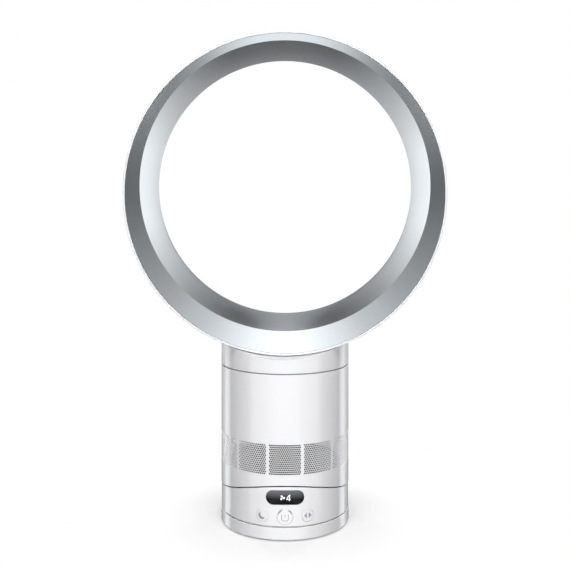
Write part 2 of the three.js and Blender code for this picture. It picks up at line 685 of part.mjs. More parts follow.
// Board of the controls on the floor's posts, with its relay, its connector and a capacitor.
function controlBoard() {
  const half = CONTROL_BOARD_WIDTH / 2;
  const depthAt = (share) => THREE.MathUtils.lerp(controlBoardFront, controlBoardBack, share);
  const bottom = controlBoardHeight;
  const top = bottom + BOARD_THICKNESS + COMPONENT_HEIGHT;
  const board = block(-half, half, controlBoardFront, controlBoardBack, bottom,
    bottom + BOARD_THICKNESS);
  const relay = block(-half / 2, -half / 8, depthAt(0.27), depthAt(0.73), bottom, top);
  const connector = block(half / 4, half / 1.5, depthAt(0.6), depthAt(0.83), bottom, top);
  const capacitor = disc(CAPACITOR_RADIUS, bottom, top, SMALL_SEGMENTS, half / 2, depthAt(0.3));
  return join(board, relay, connector, capacitor);
}

// ---- Tilt slide ------------------------------------------------------------------------

// Curved plate on the control section, with one slot for each post of the shoe.
function tiltCradle() {
  const plate = disc(controlBore - CLEARANCE, 0, TILT_AXIS_HEIGHT, COLUMN_SEGMENTS)
    .subtract(tiltBar(cradleRadius))
    .intersect(tiltBar(cradleBack));
  const reach = arcAngle(POST_LENGTH / 2 + SEAM, cradleRadius) + TILT_LIMIT;
  const slots = [-POST_OFFSET, POST_OFFSET].map((x) => tiltPlate(
    shoeRadius, postEnd, x, POST_WIDTH + 2 * SEAM, reach));
  return cut(plate, ...slots);
}

// Curved foot of the column, with two posts that pass down through the cradle and three
// standoffs for the fan's board.
function tiltShoe() {
  const inside = disc(columnBore - CLEARANCE, 0, TILT_AXIS_HEIGHT, COLUMN_SEGMENTS);
  const plate = inside
    .subtract(tiltBar(shoeTop))
    .intersect(tiltBar(shoeRadius));
  const posts = [-POST_OFFSET, POST_OFFSET].map((x) => tiltPlate(
    shoeRadius - SHOE_THICKNESS / 2, postEnd, x, POST_WIDTH, arcAngle(POST_LENGTH / 2, postEnd)));
  const standoffs = [];
  for (let i = 0; i < STANDOFF_COUNT; i++) {
    const angle = Math.PI / 2 + 2 * Math.PI * i / STANDOFF_COUNT;
    const place = polar(FAN_BOARD_RADIUS - 3 * STANDOFF_RADIUS, angle);
    standoffs.push(disc(STANDOFF_RADIUS, 0, FAN_BOARD_HEIGHT - CLEARANCE, POST_SEGMENTS,
      place.x, place.y).intersect(tiltBar(shoeRadius - SHOE_THICKNESS / 2)));
  }
  return join(plate, ...posts, ...standoffs);
}

// Curved strip under the cradle, screwed to a post, that keeps the column from lifting off.
function tiltKeeper(x) {
  return tiltPlate(keeperRadius, keeperRadius + KEEPER_THICKNESS, x, KEEPER_WIDTH,
    arcAngle(KEEPER_LENGTH / 2, keeperRadius));
}

// ---- Body casing -----------------------------------------------------------------------

// All the holes of the inlet band: staggered rows in panels with a solid strip between.
function grilleHoles() {
  const panelAngle = 2 * Math.PI / GRILLE_PANELS;
  const panelWidth = COLUMN_RADIUS * panelAngle - GRILLE_STRIP;
  const rowPitch = GRILLE_PITCH * Math.sin(Math.PI / 3);
  const rows = Math.floor((GRILLE_TOP - GRILLE_BOTTOM - 2 * GRILLE_HOLE) / rowPitch) + 1;
  const columns = Math.floor((panelWidth - 2 * GRILLE_HOLE) / GRILLE_PITCH) + 1;
  const middle = (GRILLE_TOP + GRILLE_BOTTOM) / 2;
  const holes = [];
  for (let panel = 0; panel < GRILLE_PANELS; panel++) {
    for (let row = 0; row < rows; row++) {
      const count = columns - (row % 2);
      for (let column = 0; column < count; column++) {
        const along = (column - (count - 1) / 2) * GRILLE_PITCH;
        const height = middle + (row - (rows - 1) / 2) * rowPitch;
        const hole = new THREE.CylinderGeometry(
          GRILLE_HOLE, GRILLE_HOLE, 4 * COLUMN_WALL, HOLE_SEGMENTS);
        hole.translate(0, -COLUMN_RADIUS, height);
        holes.push(hole.rotateZ(panel * panelAngle + along / COLUMN_RADIUS));
      }
    }
  }
  return solid(mergeGeometries(holes));
}

// Tube of the column. Its bottom edge is rounded to the tilt radius, the shoe seats under
// its lower seats, and the fan housing hangs on the seal on its upper ones.
function bodyCasing() {
  const tube = ring(columnBore, COLUMN_RADIUS, 0, CASING_TOP, COLUMN_SEGMENTS)
    .intersect(tiltBar(shoeRadius));
  const shoeSeats = seats(columnBore, [45, 135, 225, 315], 0, GRILLE_BOTTOM)
    .intersect(tiltBar(shoeTop - CLEARANCE))
    .subtract(tiltBar(shoeTop - CLEARANCE - SEAT_HEIGHT));
  const fanSeats = seats(columnBore, [0, 60, 120, 180, 240, 300], fanSeatTop - SEAT_HEIGHT,
    fanSeatTop);
  return cut(join(tube, shoeSeats, fanSeats), grilleHoles());
}

// ---- Fan unit --------------------------------------------------------------------------

function fanBoard() {
  const top = FAN_BOARD_HEIGHT + BOARD_THICKNESS;
  const board = disc(FAN_BOARD_RADIUS, FAN_BOARD_HEIGHT, top, INNER_SEGMENTS);
  const choke = disc(CHOKE_RADIUS, FAN_BOARD_HEIGHT, top + CHOKE_HEIGHT, SMALL_SEGMENTS,
    -FAN_BOARD_RADIUS / 2, CHOKE_RADIUS);
  const chip = block(CHOKE_RADIUS, CHOKE_RADIUS + CHIP_WIDTH, -CHIP_WIDTH / 2, CHIP_WIDTH / 2,
    FAN_BOARD_HEIGHT, top + CHIP_HEIGHT);
  return join(board, choke, chip);
}

function inletFoam() {
  return disc(INLET_FOAM_RADIUS, INLET_FOAM_BOTTOM, INLET_FOAM_BOTTOM + INLET_FOAM_THICKNESS,
    INNER_SEGMENTS);
}

// Flared mouth under the fan housing.
function inletBellmouth() {
  const top = housingBottom - CLEARANCE;
  const flare = new THREE.EllipseCurve(
    housingEye + BELL_WIDTH, top, BELL_WIDTH, BELL_DROP, Math.PI, 3 * Math.PI / 2);
  const upper = flare.getPoints(3).map(({ x, y }) => [x, y]);
  const lower = [...upper].reverse().map(([r, z]) => [r + HOUSING_WALL, z + HOUSING_WALL]);
  lower[lower.length - 1] = [housingEye + HOUSING_WALL, top];
  return revolve([...upper, ...lower], INNER_SEGMENTS);
}

// Cone round the impeller, then a straight wall round the vanes, with the flange it hangs by.
function fanHousing() {
  const flangeRadius = columnBore - SEAT_DEPTH / 2;
  return revolve([
    [housingEye, housingBottom],
    [housingBore, impellerTop],
    [housingBore, flangeTop],
    [flangeRadius, flangeTop],
    [flangeRadius, FLANGE_HEIGHT],
    [housingOutside, FLANGE_HEIGHT],
    [housingOutside, impellerTop],
    [housingEye + HOUSING_WALL, housingBottom],
  ], INNER_SEGMENTS);
}

// Hub and tip radii of the fan's air passage, from its inlet at 0 to its outlet at 1.
function hubRadius(along) {
  return THREE.MathUtils.lerp(IMPELLER_NOSE, IMPELLER_HUB, along ** 1.4);
}

function tipRadius(along) {
  return THREE.MathUtils.lerp(IMPELLER_EYE, IMPELLER_TIP, along);
}

// A blade between two radii, wound round the axis as it rises. Each section has four corners.
function blade(stations, thickness, innerAt, outerAt, heightAt, angleAt) {
  const sections = [];
  for (let i = 0; i <= stations; i++) {
    const along = i / stations;
    const corners = [[innerAt(along), -1], [outerAt(along), -1], [outerAt(along), 1],
      [innerAt(along), 1]];
    sections.push(corners.map(([radius, side]) => {
      const angle = angleAt(along) + side * thickness / 2 / radius;
      const place = polar(radius, angle);
      return new THREE.Vector3(place.x, place.y, heightAt(along));
    }));
  }
  return loft(sections, false);
}

// Mixed-flow impeller: a flared hub with swept blades. The air comes in at the bottom.
function impeller() {
  const steps = 4;
  const flare = [];
  for (let i = 0; i <= steps; i++) {
    flare.push([hubRadius(i / steps), IMPELLER_BOTTOM + IMPELLER_HEIGHT * i / steps]);
  }
  const bore = SHAFT_RADIUS + CLEARANCE;
  const hub = revolve([
    [bore, IMPELLER_BOTTOM],
    ...flare,
    [IMPELLER_HUB - 2 * BLADE_THICKNESS, impellerTop],
    [bore + 2 * BLADE_THICKNESS, impellerTop - IMPELLER_HEIGHT / 3],
    [bore, impellerTop - IMPELLER_HEIGHT / 3],
  ], INNER_SEGMENTS);
  const blades = [];
  for (let i = 0; i < IMPELLER_BLADES; i++) {
    const start = 2 * Math.PI * i / IMPELLER_BLADES;
    blades.push(blade(3, BLADE_THICKNESS,
      (along) => hubRadius(along) - BLADE_THICKNESS,
      tipRadius,
      (along) => IMPELLER_BOTTOM + IMPELLER_HEIGHT * (0.06 + 0.9 * along),
      (along) => start - degrees(BLADE_SWEEP) * along ** 0.8));
  }
  const passage = revolve([
    [0, IMPELLER_BOTTOM],
    [IMPELLER_EYE, IMPELLER_BOTTOM],
    [IMPELLER_TIP, impellerTop],
    [0, impellerTop],
  ], INNER_SEGMENTS);
  return join(hub, ...blades).intersect(passage);
}

// Cone that closes the blades' tips and turns with them.
function impellerShroud() {
  const inside = IMPELLER_EYE + CLEARANCE;
  const outside = IMPELLER_TIP + CLEARANCE;
  return revolve([
    [inside, IMPELLER_BOTTOM],
    [outside, impellerTop],
    [outside + SHROUD_THICKNESS, impellerTop],
    [inside + SHROUD_THICKNESS, IMPELLER_BOTTOM],
  ], INNER_SEGMENTS);
}

function rotorShaft() {
  return disc(SHAFT_RADIUS, IMPELLER_BOTTOM + RUNNING_GAP, motorTop - CLEARANCE, SMALL_SEGMENTS);
}

function fanMotor() {
  const bore = SHAFT_RADIUS + CLEARANCE;
  const step = MOTOR_RADIUS / 4;
  const neck = MOTOR_HEIGHT / 6;
  return revolve([
    [bore, motorBottom],
    [MOTOR_RADIUS - step, motorBottom],
    [MOTOR_RADIUS, motorBottom + neck],
    [MOTOR_RADIUS, motorTop - neck],
    [MOTOR_RADIUS - step, motorTop],
    [bore, motorTop],
  ], INNER_SEGMENTS);
}

function bucketLower() {
  const bore = SHAFT_RADIUS + 2 * CLEARANCE;
  return revolve([
    [bore, bucketBottom],
    [bucketRadius, bucketBottom],
    [bucketRadius, bucketJoint],
    [bucketRadius - BUCKET_WALL, bucketJoint],
    [bucketRadius - BUCKET_WALL, bucketBottom + BUCKET_WALL],
    [bore, bucketBottom + BUCKET_WALL],
  ], INNER_SEGMENTS);
}

// Domed cap over the motor, with a small hole at its crown for the motor's leads.
function bucketUpper() {
  const wallTop = motorTop - MOTOR_HEIGHT / 6;
  const crown = motorTop + CLEARANCE + BUCKET_WALL + MOTOR_HEIGHT / 6;
  const lead = 2 * SHAFT_RADIUS;
  return revolve([
    [bucketRadius, bucketJoint + CLEARANCE],
    [bucketRadius, wallTop],
    [bucketRadius - MOTOR_RADIUS / 4, crown - BUCKET_WALL],
    [lead, crown],
    [lead, crown - BUCKET_WALL],
    [bucketRadius - MOTOR_RADIUS / 4 - BUCKET_WALL / 2, crown - 2 * BUCKET_WALL],
    [bucketRadius - BUCKET_WALL, wallTop],
    [bucketRadius - BUCKET_WALL, bucketJoint + CLEARANCE],
  ], INNER_SEGMENTS);
}

// Fixed vanes round the bucket, which hold it in the housing. They lean where the turning air
// comes in and stand upright where it leaves.
function diffuser() {
  const bottom = bucketBottom + BUCKET_WALL;
  const inside = bucketRadius + CLEARANCE;
  const outside = housingBore - CLEARANCE;
  const hoops = [
    ring(inside, inside + VANE_RING, bottom, bottom + VANE_HEIGHT, INNER_SEGMENTS),
    ring(outside - VANE_RING, outside, bottom, bottom + VANE_HEIGHT, INNER_SEGMENTS),
  ];
  const vanes = [];
  for (let i = 0; i < VANE_COUNT; i++) {
    const start = 2 * Math.PI * i / VANE_COUNT;
    vanes.push(blade(3, VANE_THICKNESS,
      () => inside + VANE_RING / 2,
      () => outside - VANE_RING / 2,
      (along) => bottom + VANE_HEIGHT * (0.05 + 0.9 * along),
      (along) => start + degrees(VANE_SWEEP) * (1 - (1 - along) ** 1.5)));
  }
  return join(...hoops, ...vanes);
}

function lipSeal() {
  const bottom = fanSeatTop + CLEARANCE;
  return ring(housingOutside + CLEARANCE, columnBore - CLEARANCE, bottom,
    bottom + SEAL_THICKNESS, INNER_SEGMENTS);
}

function outletFoam() {
  const outside = columnBore - 2 * CLEARANCE;
  return ring(outside - OUTLET_FOAM_WIDTH, outside, flangeTop + CLEARANCE, outletFoamTop,
    INNER_SEGMENTS);
}

// Ring in the top of the casing, with the spigot that the nozzle's neck fits over.
function topRing() {
  const outside = columnBore - CLEARANCE;
  return ring(outside - TOP_RING_WIDTH, outside, topRingBottom, spigotTop, COLUMN_SEGMENTS);
}

function neckSeal() {
  const outside = columnBore - CLEARANCE;
  const bottom = spigotTop + CLEARANCE;
  return ring(outside - TOP_RING_WIDTH, outside, bottom, bottom + NECK_SEAL_THICKNESS,
    INNER_SEGMENTS);
}

// ---- Ring nozzle -----------------------------------------------------------------------

// Distance from the bore's axis to the ring's outer circle, in the direction of an angle.
function outerReach(angle) {
  const across = BORE_OFFSET * Math.cos(angle);
  return Math.sqrt(RING_RADIUS ** 2 - across ** 2) - BORE_OFFSET * Math.sin(angle);
}

// Lofts a closed outline of [depth, radius] points round the bore's axis.
function loftRound(outlineAt) {
  const sections = [];
  for (let i = 0; i < RING_SEGMENTS; i++) {
    const angle = 2 * Math.PI * i / RING_SEGMENTS;
    sections.push(outlineAt(angle).map(([y, radius]) => new THREE.Vector3(
      radius * Math.cos(angle), y, boreHeight + radius * Math.sin(angle))));
  }
  return loft(sections, true);
}

// Half ellipse round the back of the ring, from its outside to its bore.
function nose(outside, inside, depth, steps) {
  const curve = new THREE.EllipseCurve(
    noseStart, (outside + inside) / 2, depth, (outside - inside) / 2, Math.PI / 2, -Math.PI / 2,
    true);
  return curve.getPoints(steps).map(({ x, y }) => [x, y]);
}

// Skin of the ring: the outside, the rounded back edge and the tail inside the bore.
function outerOutline(angle) {
  const outside = outerReach(angle);
  const skin = nose(outside, THROAT_RADIUS, NOSE_DEPTH, 6);
  const lining = nose(outside - RING_WALL, THROAT_RADIUS + RING_WALL, NOSE_DEPTH - RING_WALL, 5);
  const tailEnd = noseStart - TAIL_LENGTH;
  return [
    [ringFront, outside - LIP_ROUND],
    [ringFront + LIP_ROUND, outside],
    ...skin,
    [tailEnd, THROAT_RADIUS],
    [tailEnd, THROAT_RADIUS + TAIL_TIP],
    ...lining.reverse(),
    [ringFront, outside - RING_WALL],
  ];
}

// Bar along Y with the ring's own outer circle, made larger or smaller by grow.
function ringBar(grow, from, to) {
  return barAlongY(RING_RADIUS + grow, from, to, RING_CENTRE, 2 * RING_SEGMENTS);
}

// Round neck under the ring. In front of the ring and behind it, the neck is hollowed to the
// ring's outer circle.
function neck() {
  const post = disc(COLUMN_RADIUS, neckBottom, RING_CENTRE, COLUMN_SEGMENTS);
  const past = COLUMN_RADIUS + RING_WALL;
  return cut(post, ringBar(-RING_WALL / 2, -past, past),
    ringBar(0, -past, ringFront + LIP_ROUND), ringBar(0, noseStart, past));
}

// The air's way through the neck: all of its bore up to the hollowed top, and then an
// opening into the ring.
function airway() {
  const past = COLUMN_RADIUS + RING_WALL;
  const bore = disc(columnBore, neckBottom - SEAM, RING_CENTRE, COLUMN_SEGMENTS);
  const lower = bore.subtract(ringBar(RING_WALL, -past, past));
  const upper = bore
    .subtract(ringBar(-2 * RING_WALL, -past, past))
    .intersect(block(-past, past, -AIRWAY_HALF_DEPTH, AIRWAY_HALF_DEPTH, 0, RING_CENTRE));
  return join(lower, upper);
}

function nozzleOuterCasing() {
  return cut(join(loftRound(outerOutline), neck()), airway());
}

// The crease leans: it lies deeper at the bottom of the ring than at the top.
function creaseDepth(angle) {
  return ringFront + CREASE_SETBACK - CREASE_LEAN * Math.sin(angle);
}

// Bore, front bevel and back lip of the ring.
function innerOutline(angle) {
  const rimRadius = outerReach(angle) - RING_WALL - CLEARANCE;
  const slotRadius = THROAT_RADIUS + RING_WALL + MOUTH_GAP;
  const back = noseStart + LIP_REACH;
  const crease = creaseDepth(angle);
  const slotFront = noseStart - TAIL_LENGTH;
  const bend = (slotFront + crease) / 2;
  const swell = (CREASE_RADIUS - slotRadius) * 0.42;
  return [
    [ringFront, rimRadius],
    [crease, CREASE_RADIUS],
    [bend, slotRadius + swell],
    [slotFront, slotRadius],
    [noseStart, slotRadius],
    [back, slotRadius + INNER_WALL],
    [back - INNER_WALL / 2, slotRadius + 1.5 * INNER_WALL],
    [noseStart, slotRadius + INNER_WALL],
    [slotFront, slotRadius + INNER_WALL],
    [bend, slotRadius + swell + INNER_WALL],
    [crease + INNER_WALL, CREASE_RADIUS + INNER_WALL],
    [ringFront + INNER_WALL, rimRadius],
  ];
}

function nozzleInnerCasing() {
  return loftRound(innerOutline);
}

// ---- Assembly --------------------------------------------------------------------------

function finish(color, roughness, metalness = 0) {
  return { color, roughness, metalness };
}

const whiteGloss = finish(0xf4f4f6, 0.3);
const silver = finish(0x8f9498, 0.35, 0.6);
const blackGloss = finish(0x16181c, 0.15);
const greyPlastic = finish(0x9a9da1, 0.5);
const darkPlastic = finish(0x3a3d41, 0.5);
const acetal = finish(0xe8e6df, 0.4);
const rubber = finish(0x2b2c2e, 0.85);
const foam = finish(0x4a4b4e, 0.95);
const steel = finish(0xa8abb0, 0.35, 0.9);
const circuitBoard = finish(0x2f6b3f, 0.6);

function piece(name, body, look) {
  const mesh = new THREE.Mesh(geometryOf(body), new THREE.MeshStandardMaterial(look));
  mesh.name = name;
  return mesh;
}

function group(...members) {
  const bench = new THREE.Group();
  bench.add(...members);
  return bench;
}

function baseGroup() {
  return group(
    piece('base_shell', baseShell(), whiteGloss),
    piece('base_floor', baseFloor(), darkPlastic),
    piece('foot_ring', footRing(), rubber),
    piece('cable_gland', cableGland(), rubber),
    piece('thrust_ring', thrustRing(), acetal),
    piece('fixed_gear', fixedGear(), acetal),
    piece('pivot_clip', pivotClip(), steel),
  );
}

function turntableGroup() {
  const pinion = piece('drive_pinion', drivePinion(), acetal);
  pinion.position.y = gearCentreDistance;
  const caps = buttons.map(({ name, angle, radius }) => {
    const cap = piece(name, button(radius), whiteGloss);
    cap.rotation.z = degrees(angle);
    return cap;
  });
  return group(
    piece('control_housing', controlHousing(), whiteGloss),
    piece('control_floor', controlFloor(), darkPlastic),
    piece('display_window', displayWindow(), blackGloss),
    piece('display_module', displayModule(), darkPlastic),
    piece('switch_board', switchBoard(), circuitBoard),
    piece('control_board', controlBoard(), circuitBoard),
    piece('drive_motor', driveMotor(), steel),
    piece('tilt_cradle', tiltCradle(), greyPlastic),
    pinion,
    ...caps,
  );
}

function bodyGroup() {
  return group(
    piece('body_casing', bodyCasing(), whiteGloss),
    piece('tilt_shoe', tiltShoe(), greyPlastic),
    piece('tilt_keeper_left', tiltKeeper(-POST_OFFSET), steel),
    piece('tilt_keeper_right', tiltKeeper(POST_OFFSET), steel),
    piece('fan_board', fanBoard(), circuitBoard),
    piece('inlet_foam', inletFoam(), foam),
    piece('inlet_bellmouth', inletBellmouth(), greyPlastic),
    piece('fan_housing', fanHousing(), greyPlastic),
    piece('lip_seal', lipSeal(), rubber),
    piece('bucket_lower', bucketLower(), darkPlastic),
    piece('bucket_upper', bucketUpper(), darkPlastic),
    piece('fan_motor', fanMotor(), steel),
    piece('diffuser', diffuser(), darkPlastic),
    piece('outlet_foam', outletFoam(), foam),
    piece('top_ring', topRing(), greyPlastic),
    piece('neck_seal', neckSeal(), rubber),
    piece('nozzle_outer_casing', nozzleOuterCasing(), whiteGloss),
    piece('nozzle_inner_casing', nozzleInnerCasing(), silver),
  );
}

function rotorGroup() {
  return group(
    piece('impeller', impeller(), darkPlastic),
    piece('impeller_shroud', impellerShroud(), darkPlastic),
    piece('rotor_shaft', rotorShaft(), steel),
  );
}

export default group(baseGroup(), turntableGroup(), bodyGroup(), rotorGroup());
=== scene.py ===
import json
import math

import bmesh
import bpy
from mathutils import Matrix, Vector


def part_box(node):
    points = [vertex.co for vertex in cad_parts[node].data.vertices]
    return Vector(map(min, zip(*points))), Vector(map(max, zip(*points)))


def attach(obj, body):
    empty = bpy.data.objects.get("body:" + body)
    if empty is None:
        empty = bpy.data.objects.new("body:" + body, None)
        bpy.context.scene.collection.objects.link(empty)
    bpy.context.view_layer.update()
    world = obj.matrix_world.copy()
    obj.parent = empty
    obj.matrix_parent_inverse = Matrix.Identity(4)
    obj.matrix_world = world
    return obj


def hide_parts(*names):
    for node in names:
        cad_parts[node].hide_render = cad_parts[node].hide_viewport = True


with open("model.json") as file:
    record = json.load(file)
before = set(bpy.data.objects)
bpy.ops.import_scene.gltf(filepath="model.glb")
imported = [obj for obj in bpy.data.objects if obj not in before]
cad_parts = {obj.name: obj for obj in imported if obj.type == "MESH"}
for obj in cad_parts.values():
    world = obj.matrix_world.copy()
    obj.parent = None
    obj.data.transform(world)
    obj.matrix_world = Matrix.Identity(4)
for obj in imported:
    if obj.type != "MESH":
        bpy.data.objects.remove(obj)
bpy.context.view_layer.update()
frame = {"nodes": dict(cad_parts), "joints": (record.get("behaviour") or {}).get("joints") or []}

bl_info = {
    "name": "Bladeless desk fan",
    "version": (1, 0, 0),
    "blender": (4, 5, 0),
    "location": "View3D > Sidebar > Fan",
    "description": "Dresses the packed frame of a bladeless desk fan and sets up its studio",
    "category": "Object",
}

MM = 0.001

# ---- Places that come from the frame ------------------------------------------------------

outer_low, outer_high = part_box("nozzle_outer_casing")
casing_low, casing_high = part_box("body_casing")
housing_low, housing_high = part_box("control_housing")
window_low, window_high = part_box("display_window")
base_low, base_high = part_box("base_shell")
gland_low, gland_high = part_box("cable_gland")
cradle_low, cradle_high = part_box("tilt_cradle")
keeper_low, keeper_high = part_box("tilt_keeper_right")
foot_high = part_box("foot_ring")[1]

COLUMN_RADIUS = casing_high.x
CONTROL_RADIUS = housing_high.x
RING_RADIUS = outer_high.x
RING_CENTRE = outer_high.z - RING_RADIUS
RING_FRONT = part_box("nozzle_inner_casing")[0].y
RING_BACK = -RING_FRONT
JOINTS = {joint["name"]: joint for joint in frame["joints"]}
TILT_AXIS = JOINTS["tilt"]["pos_m"][2]
SHOE_RADIUS = TILT_AXIS - casing_low.z
CRADLE_RADIUS = TILT_AXIS - cradle_low.z
WINDOW_WIDTH = window_high.x - window_low.x
WINDOW_HEIGHT = window_high.z - window_low.z
WINDOW_MIDDLE = (window_high.z + window_low.z) / 2


# ---- Settings -----------------------------------------------------------------------------

def length(name, description, millimetres):
    return bpy.props.FloatProperty(
        name=name, description=description, default=millimetres * MM, min=0.0,
        unit="LENGTH", subtype="DISTANCE", precision=5)


def colour(name, description, value):
    return bpy.props.StringProperty(name=name, description=description, default=value)


class FanSizes(bpy.types.PropertyGroup):
    """Sizes of the dressed pieces, in metres."""
    wall: length("Casing wall", "Wall of the white casings", 2.4)
    seam: length("Seam", "Open joint line at the tilt slide", 1.1)
    relief: length("Relief", "Extra opening of the level joint lines", 0.6)
    edge: length("Edge", "Rounding of a casing's edges", 0.3)
    gap: length("Gap", "Gap round a button or the window", 0.2)
    strip: length("Strip", "Solid strip between two perforated panels", 2.5)
    grille_bottom: length("Grille bottom", "Lower end of the perforated band", 71.0)
    grille_top: length("Grille top", "Upper end of the perforated band", 103.8)
    hole: length("Hole", "Diameter of one hole", 2.1)
    grille_wall: length("Grille wall", "Wall of the perforated band", 0.8)
    throat: length("Throat", "Narrowest radius of the bore", 149.2)
    bore_rise: length("Bore rise", "Height of the bore's axis above the ring's", 7.1)
    crease: length("Crease", "Radius where the bore meets the bevel", 161.5)
    crease_setback: length("Crease setback", "Depth of the crease behind the front", 12.9)
    crease_lean: length("Crease lean", "How much deeper the crease lies at the bottom", 6.75)
    ring_wall: length("Ring wall", "Wall of the ring's outer casing", 2.3)
    nose: length("Nose", "Depth of the rounded back edge", 15.0)
    mouth: length("Mouth", "Width of the air slot", 0.7)
    tail: length("Tail", "How far the outer casing runs on into the bore", 7.0)
    tail_setback: length("Tail setback", "How far the white tail stands back", 1.4)
    groove: length("Neck gap", "Shadow gap between the ring and its neck", 0.95)
    dome: length("Window dome", "How far the window bulges", 0.3)


class FanCounts(bpy.types.PropertyGroup):
    """Counts of what repeats."""
    panels: bpy.props.IntProperty(
        name="Panels", description="Perforated panels round the column", default=12, min=3)
    rows: bpy.props.IntProperty(
        name="Rows", description="Rows of holes in a panel", default=15, min=1)
    holes: bpy.props.IntProperty(
        name="Holes", description="Holes in one row of a panel", default=15, min=1)


class FanColours(bpy.types.PropertyGroup):
    """Colours of the finishes, as sRGB hex values."""
    casing: colour("Casing", "White gloss ABS", "F4F4F6")
    lacquer: colour("Lacquer", "Silver lacquer of the bore and bevel", "DDE1E4")
    window: colour("Window", "Smoked acrylic", "0C0D10")
    # The window's second colour is a painted reflection that lightens its upper part.
    window_painted_reflection: colour("Window haze", "Smoked acrylic at the window's top", "77797E")
    # This ink also paints the arcs of shade beside the power sign.
    print_and_shade_ink: colour("Print", "Ink of the button symbols", "A0A1A7")
    glyph: colour("Glyphs", "Lit glyphs of the display", "FFFFFF")
    grey: colour("Grey plastic", "Moulded polypropylene", "9DA0A4")
    dark: colour("Dark plastic", "Glass-filled nylon", "34373B")
    acetal: colour("Acetal", "Natural acetal of the gears", "E6E3DA")
    rubber: colour("Rubber", "Moulded rubber", "26272A")
    foam: colour("Foam", "Open-cell foam", "45474B")
    steel: colour("Steel", "Zinc-plated steel", "B9BCC0")
    board: colour("Board", "Glass-epoxy board", "2C6A3F")
    floor: colour("Floor", "Studio floor", "F4F4F5")


class StudioSettings(bpy.types.PropertyGroup):
    """Light levels and the camera of the studio."""
    front: bpy.props.FloatProperty(
        name="Front light", description="Power of the front soft box", default=60.0,
        unit="POWER")
    top: bpy.props.FloatProperty(
        name="Top light", description="Power of the overhead soft box", default=62.0,
        unit="POWER")
    rim: bpy.props.FloatProperty(
        name="Rim light", description="Power of each soft box behind the fan", default=28.0,
        unit="POWER")
    room: bpy.props.FloatProperty(
        name="Room light", description="Level of the even light all round", default=0.07)
    distance: bpy.props.FloatProperty(
        name="Distance", description="Camera's distance from the column's axis",
        default=1.0185, unit="LENGTH", subtype="DISTANCE")
    height: bpy.props.FloatProperty(
        name="Height", description="Camera's height above the table", default=0.376,
        unit="LENGTH", subtype="DISTANCE")
    lens: bpy.props.FloatProperty(
        name="Lens", description="Focal length for a 36 mm sensor", default=55.77)
    drop: bpy.props.FloatProperty(
        name="Drop", description="How far the view is shifted down", default=0.1654)


# ---- Materials ----------------------------------------------------------------------------

def linear(code, share=1.0):
    """Linear RGBA of an sRGB hex value, made darker by a share."""
    parts = [round(int(code[i:i + 2], 16) * share) / 255 for i in (0, 2, 4)]
    return tuple(
        c / 12.92 if c <= 0.04045 else ((c + 0.055) / 1.055) ** 2.4 for c in parts) + (1.0,)


def per_metre(millimetres):
    """Texture scale at which one cell of the pattern has the given size."""
    return 1.0 / (millimetres * MM)


def add_node(tree, kind, inputs, output=0, **settings):
    """Adds a node with its settings and gives back one of its outputs. An input is a value
    or the output that feeds it."""
    node = tree.nodes.new(kind)
    for key, value in settings.items():
        setattr(node, key, value)
    for key, value in inputs.items():
        if isinstance(value, bpy.types.NodeSocket):
            tree.links.new(value, node.inputs[key])
        else:
            node.inputs[key].default_value = value
    return node.outputs[output] if node.outputs else None


# Inputs and output of a Mix node that blends two colours.
FACTOR, FIRST, SECOND, BLEND = 0, 6, 7, 2


def new_material(name, surface_of, *values):
    """A material whose surface is what surface_of makes of its node tree and the place on
    the piece. That place is in metres and rides with the piece."""
    material = bpy.data.materials.new(name)
    material.use_nodes = True
    tree = material.node_tree
    tree.nodes.clear()
    place = add_node(tree, "ShaderNodeTexCoord", {}, "Object")
    add_node(tree, "ShaderNodeOutputMaterial", {"Surface": surface_of(tree, place, *values)})
    return material


def polished_abs(tree, place, white):
    # ABS, injection-moulded in a polished tool: a clean gloss whose reflections soften a
    # little where the polish is uneven. Its ripples are drawn at 2.5 mm, so that they show.
    polish = add_node(tree, "ShaderNodeTexNoise", {
        "Vector": place, "Scale": per_metre(2.5), "Detail": 1.0}, "Fac")
    return add_node(tree, "ShaderNodeBsdfPrincipled", {
        "Base Color": add_node(tree, "ShaderNodeMix", {
            FACTOR: polish, FIRST: linear(white, 0.995), SECOND: linear(white)},
            BLEND, data_type="RGBA"),
        "Roughness": add_node(tree, "ShaderNodeMapRange", {
            "Value": polish, "To Min": 0.165, "To Max": 0.185}),
        "IOR": 1.54})


def silver_lacquer(tree, place, silver):
    # Silver metallic lacquer, sprayed on ABS under a clear coat: the flakes lie flat and
    # give a soft, bright reflection with a fine sparkle, and the film varies slowly.
    # Real flakes are 0.03 mm; they are drawn at 0.35 mm, so that their sparkle shows.
    flakes = add_node(tree, "ShaderNodeTexVoronoi", {
        "Vector": place, "Scale": per_metre(0.35)}, "Color")
    film = add_node(tree, "ShaderNodeTexNoise", {
        "Vector": place, "Scale": per_metre(60), "Detail": 0.0}, "Fac")
    return add_node(tree, "ShaderNodeBsdfPrincipled", {
        "Base Color": add_node(tree, "ShaderNodeMix", {
            FACTOR: add_node(tree, "ShaderNodeSeparateColor", {"Color": flakes}, "Red"),
            FIRST: linear(silver, 0.95), SECOND: linear(silver)}, BLEND, data_type="RGBA"),
        "Metallic": 1.0,
        "Roughness": add_node(tree, "ShaderNodeMapRange", {
            "Value": film, "To Min": 0.2, "To Max": 0.24}),
        "Coat Weight": 0.3, "Coat Roughness": 0.12, "Coat IOR": 1.5})


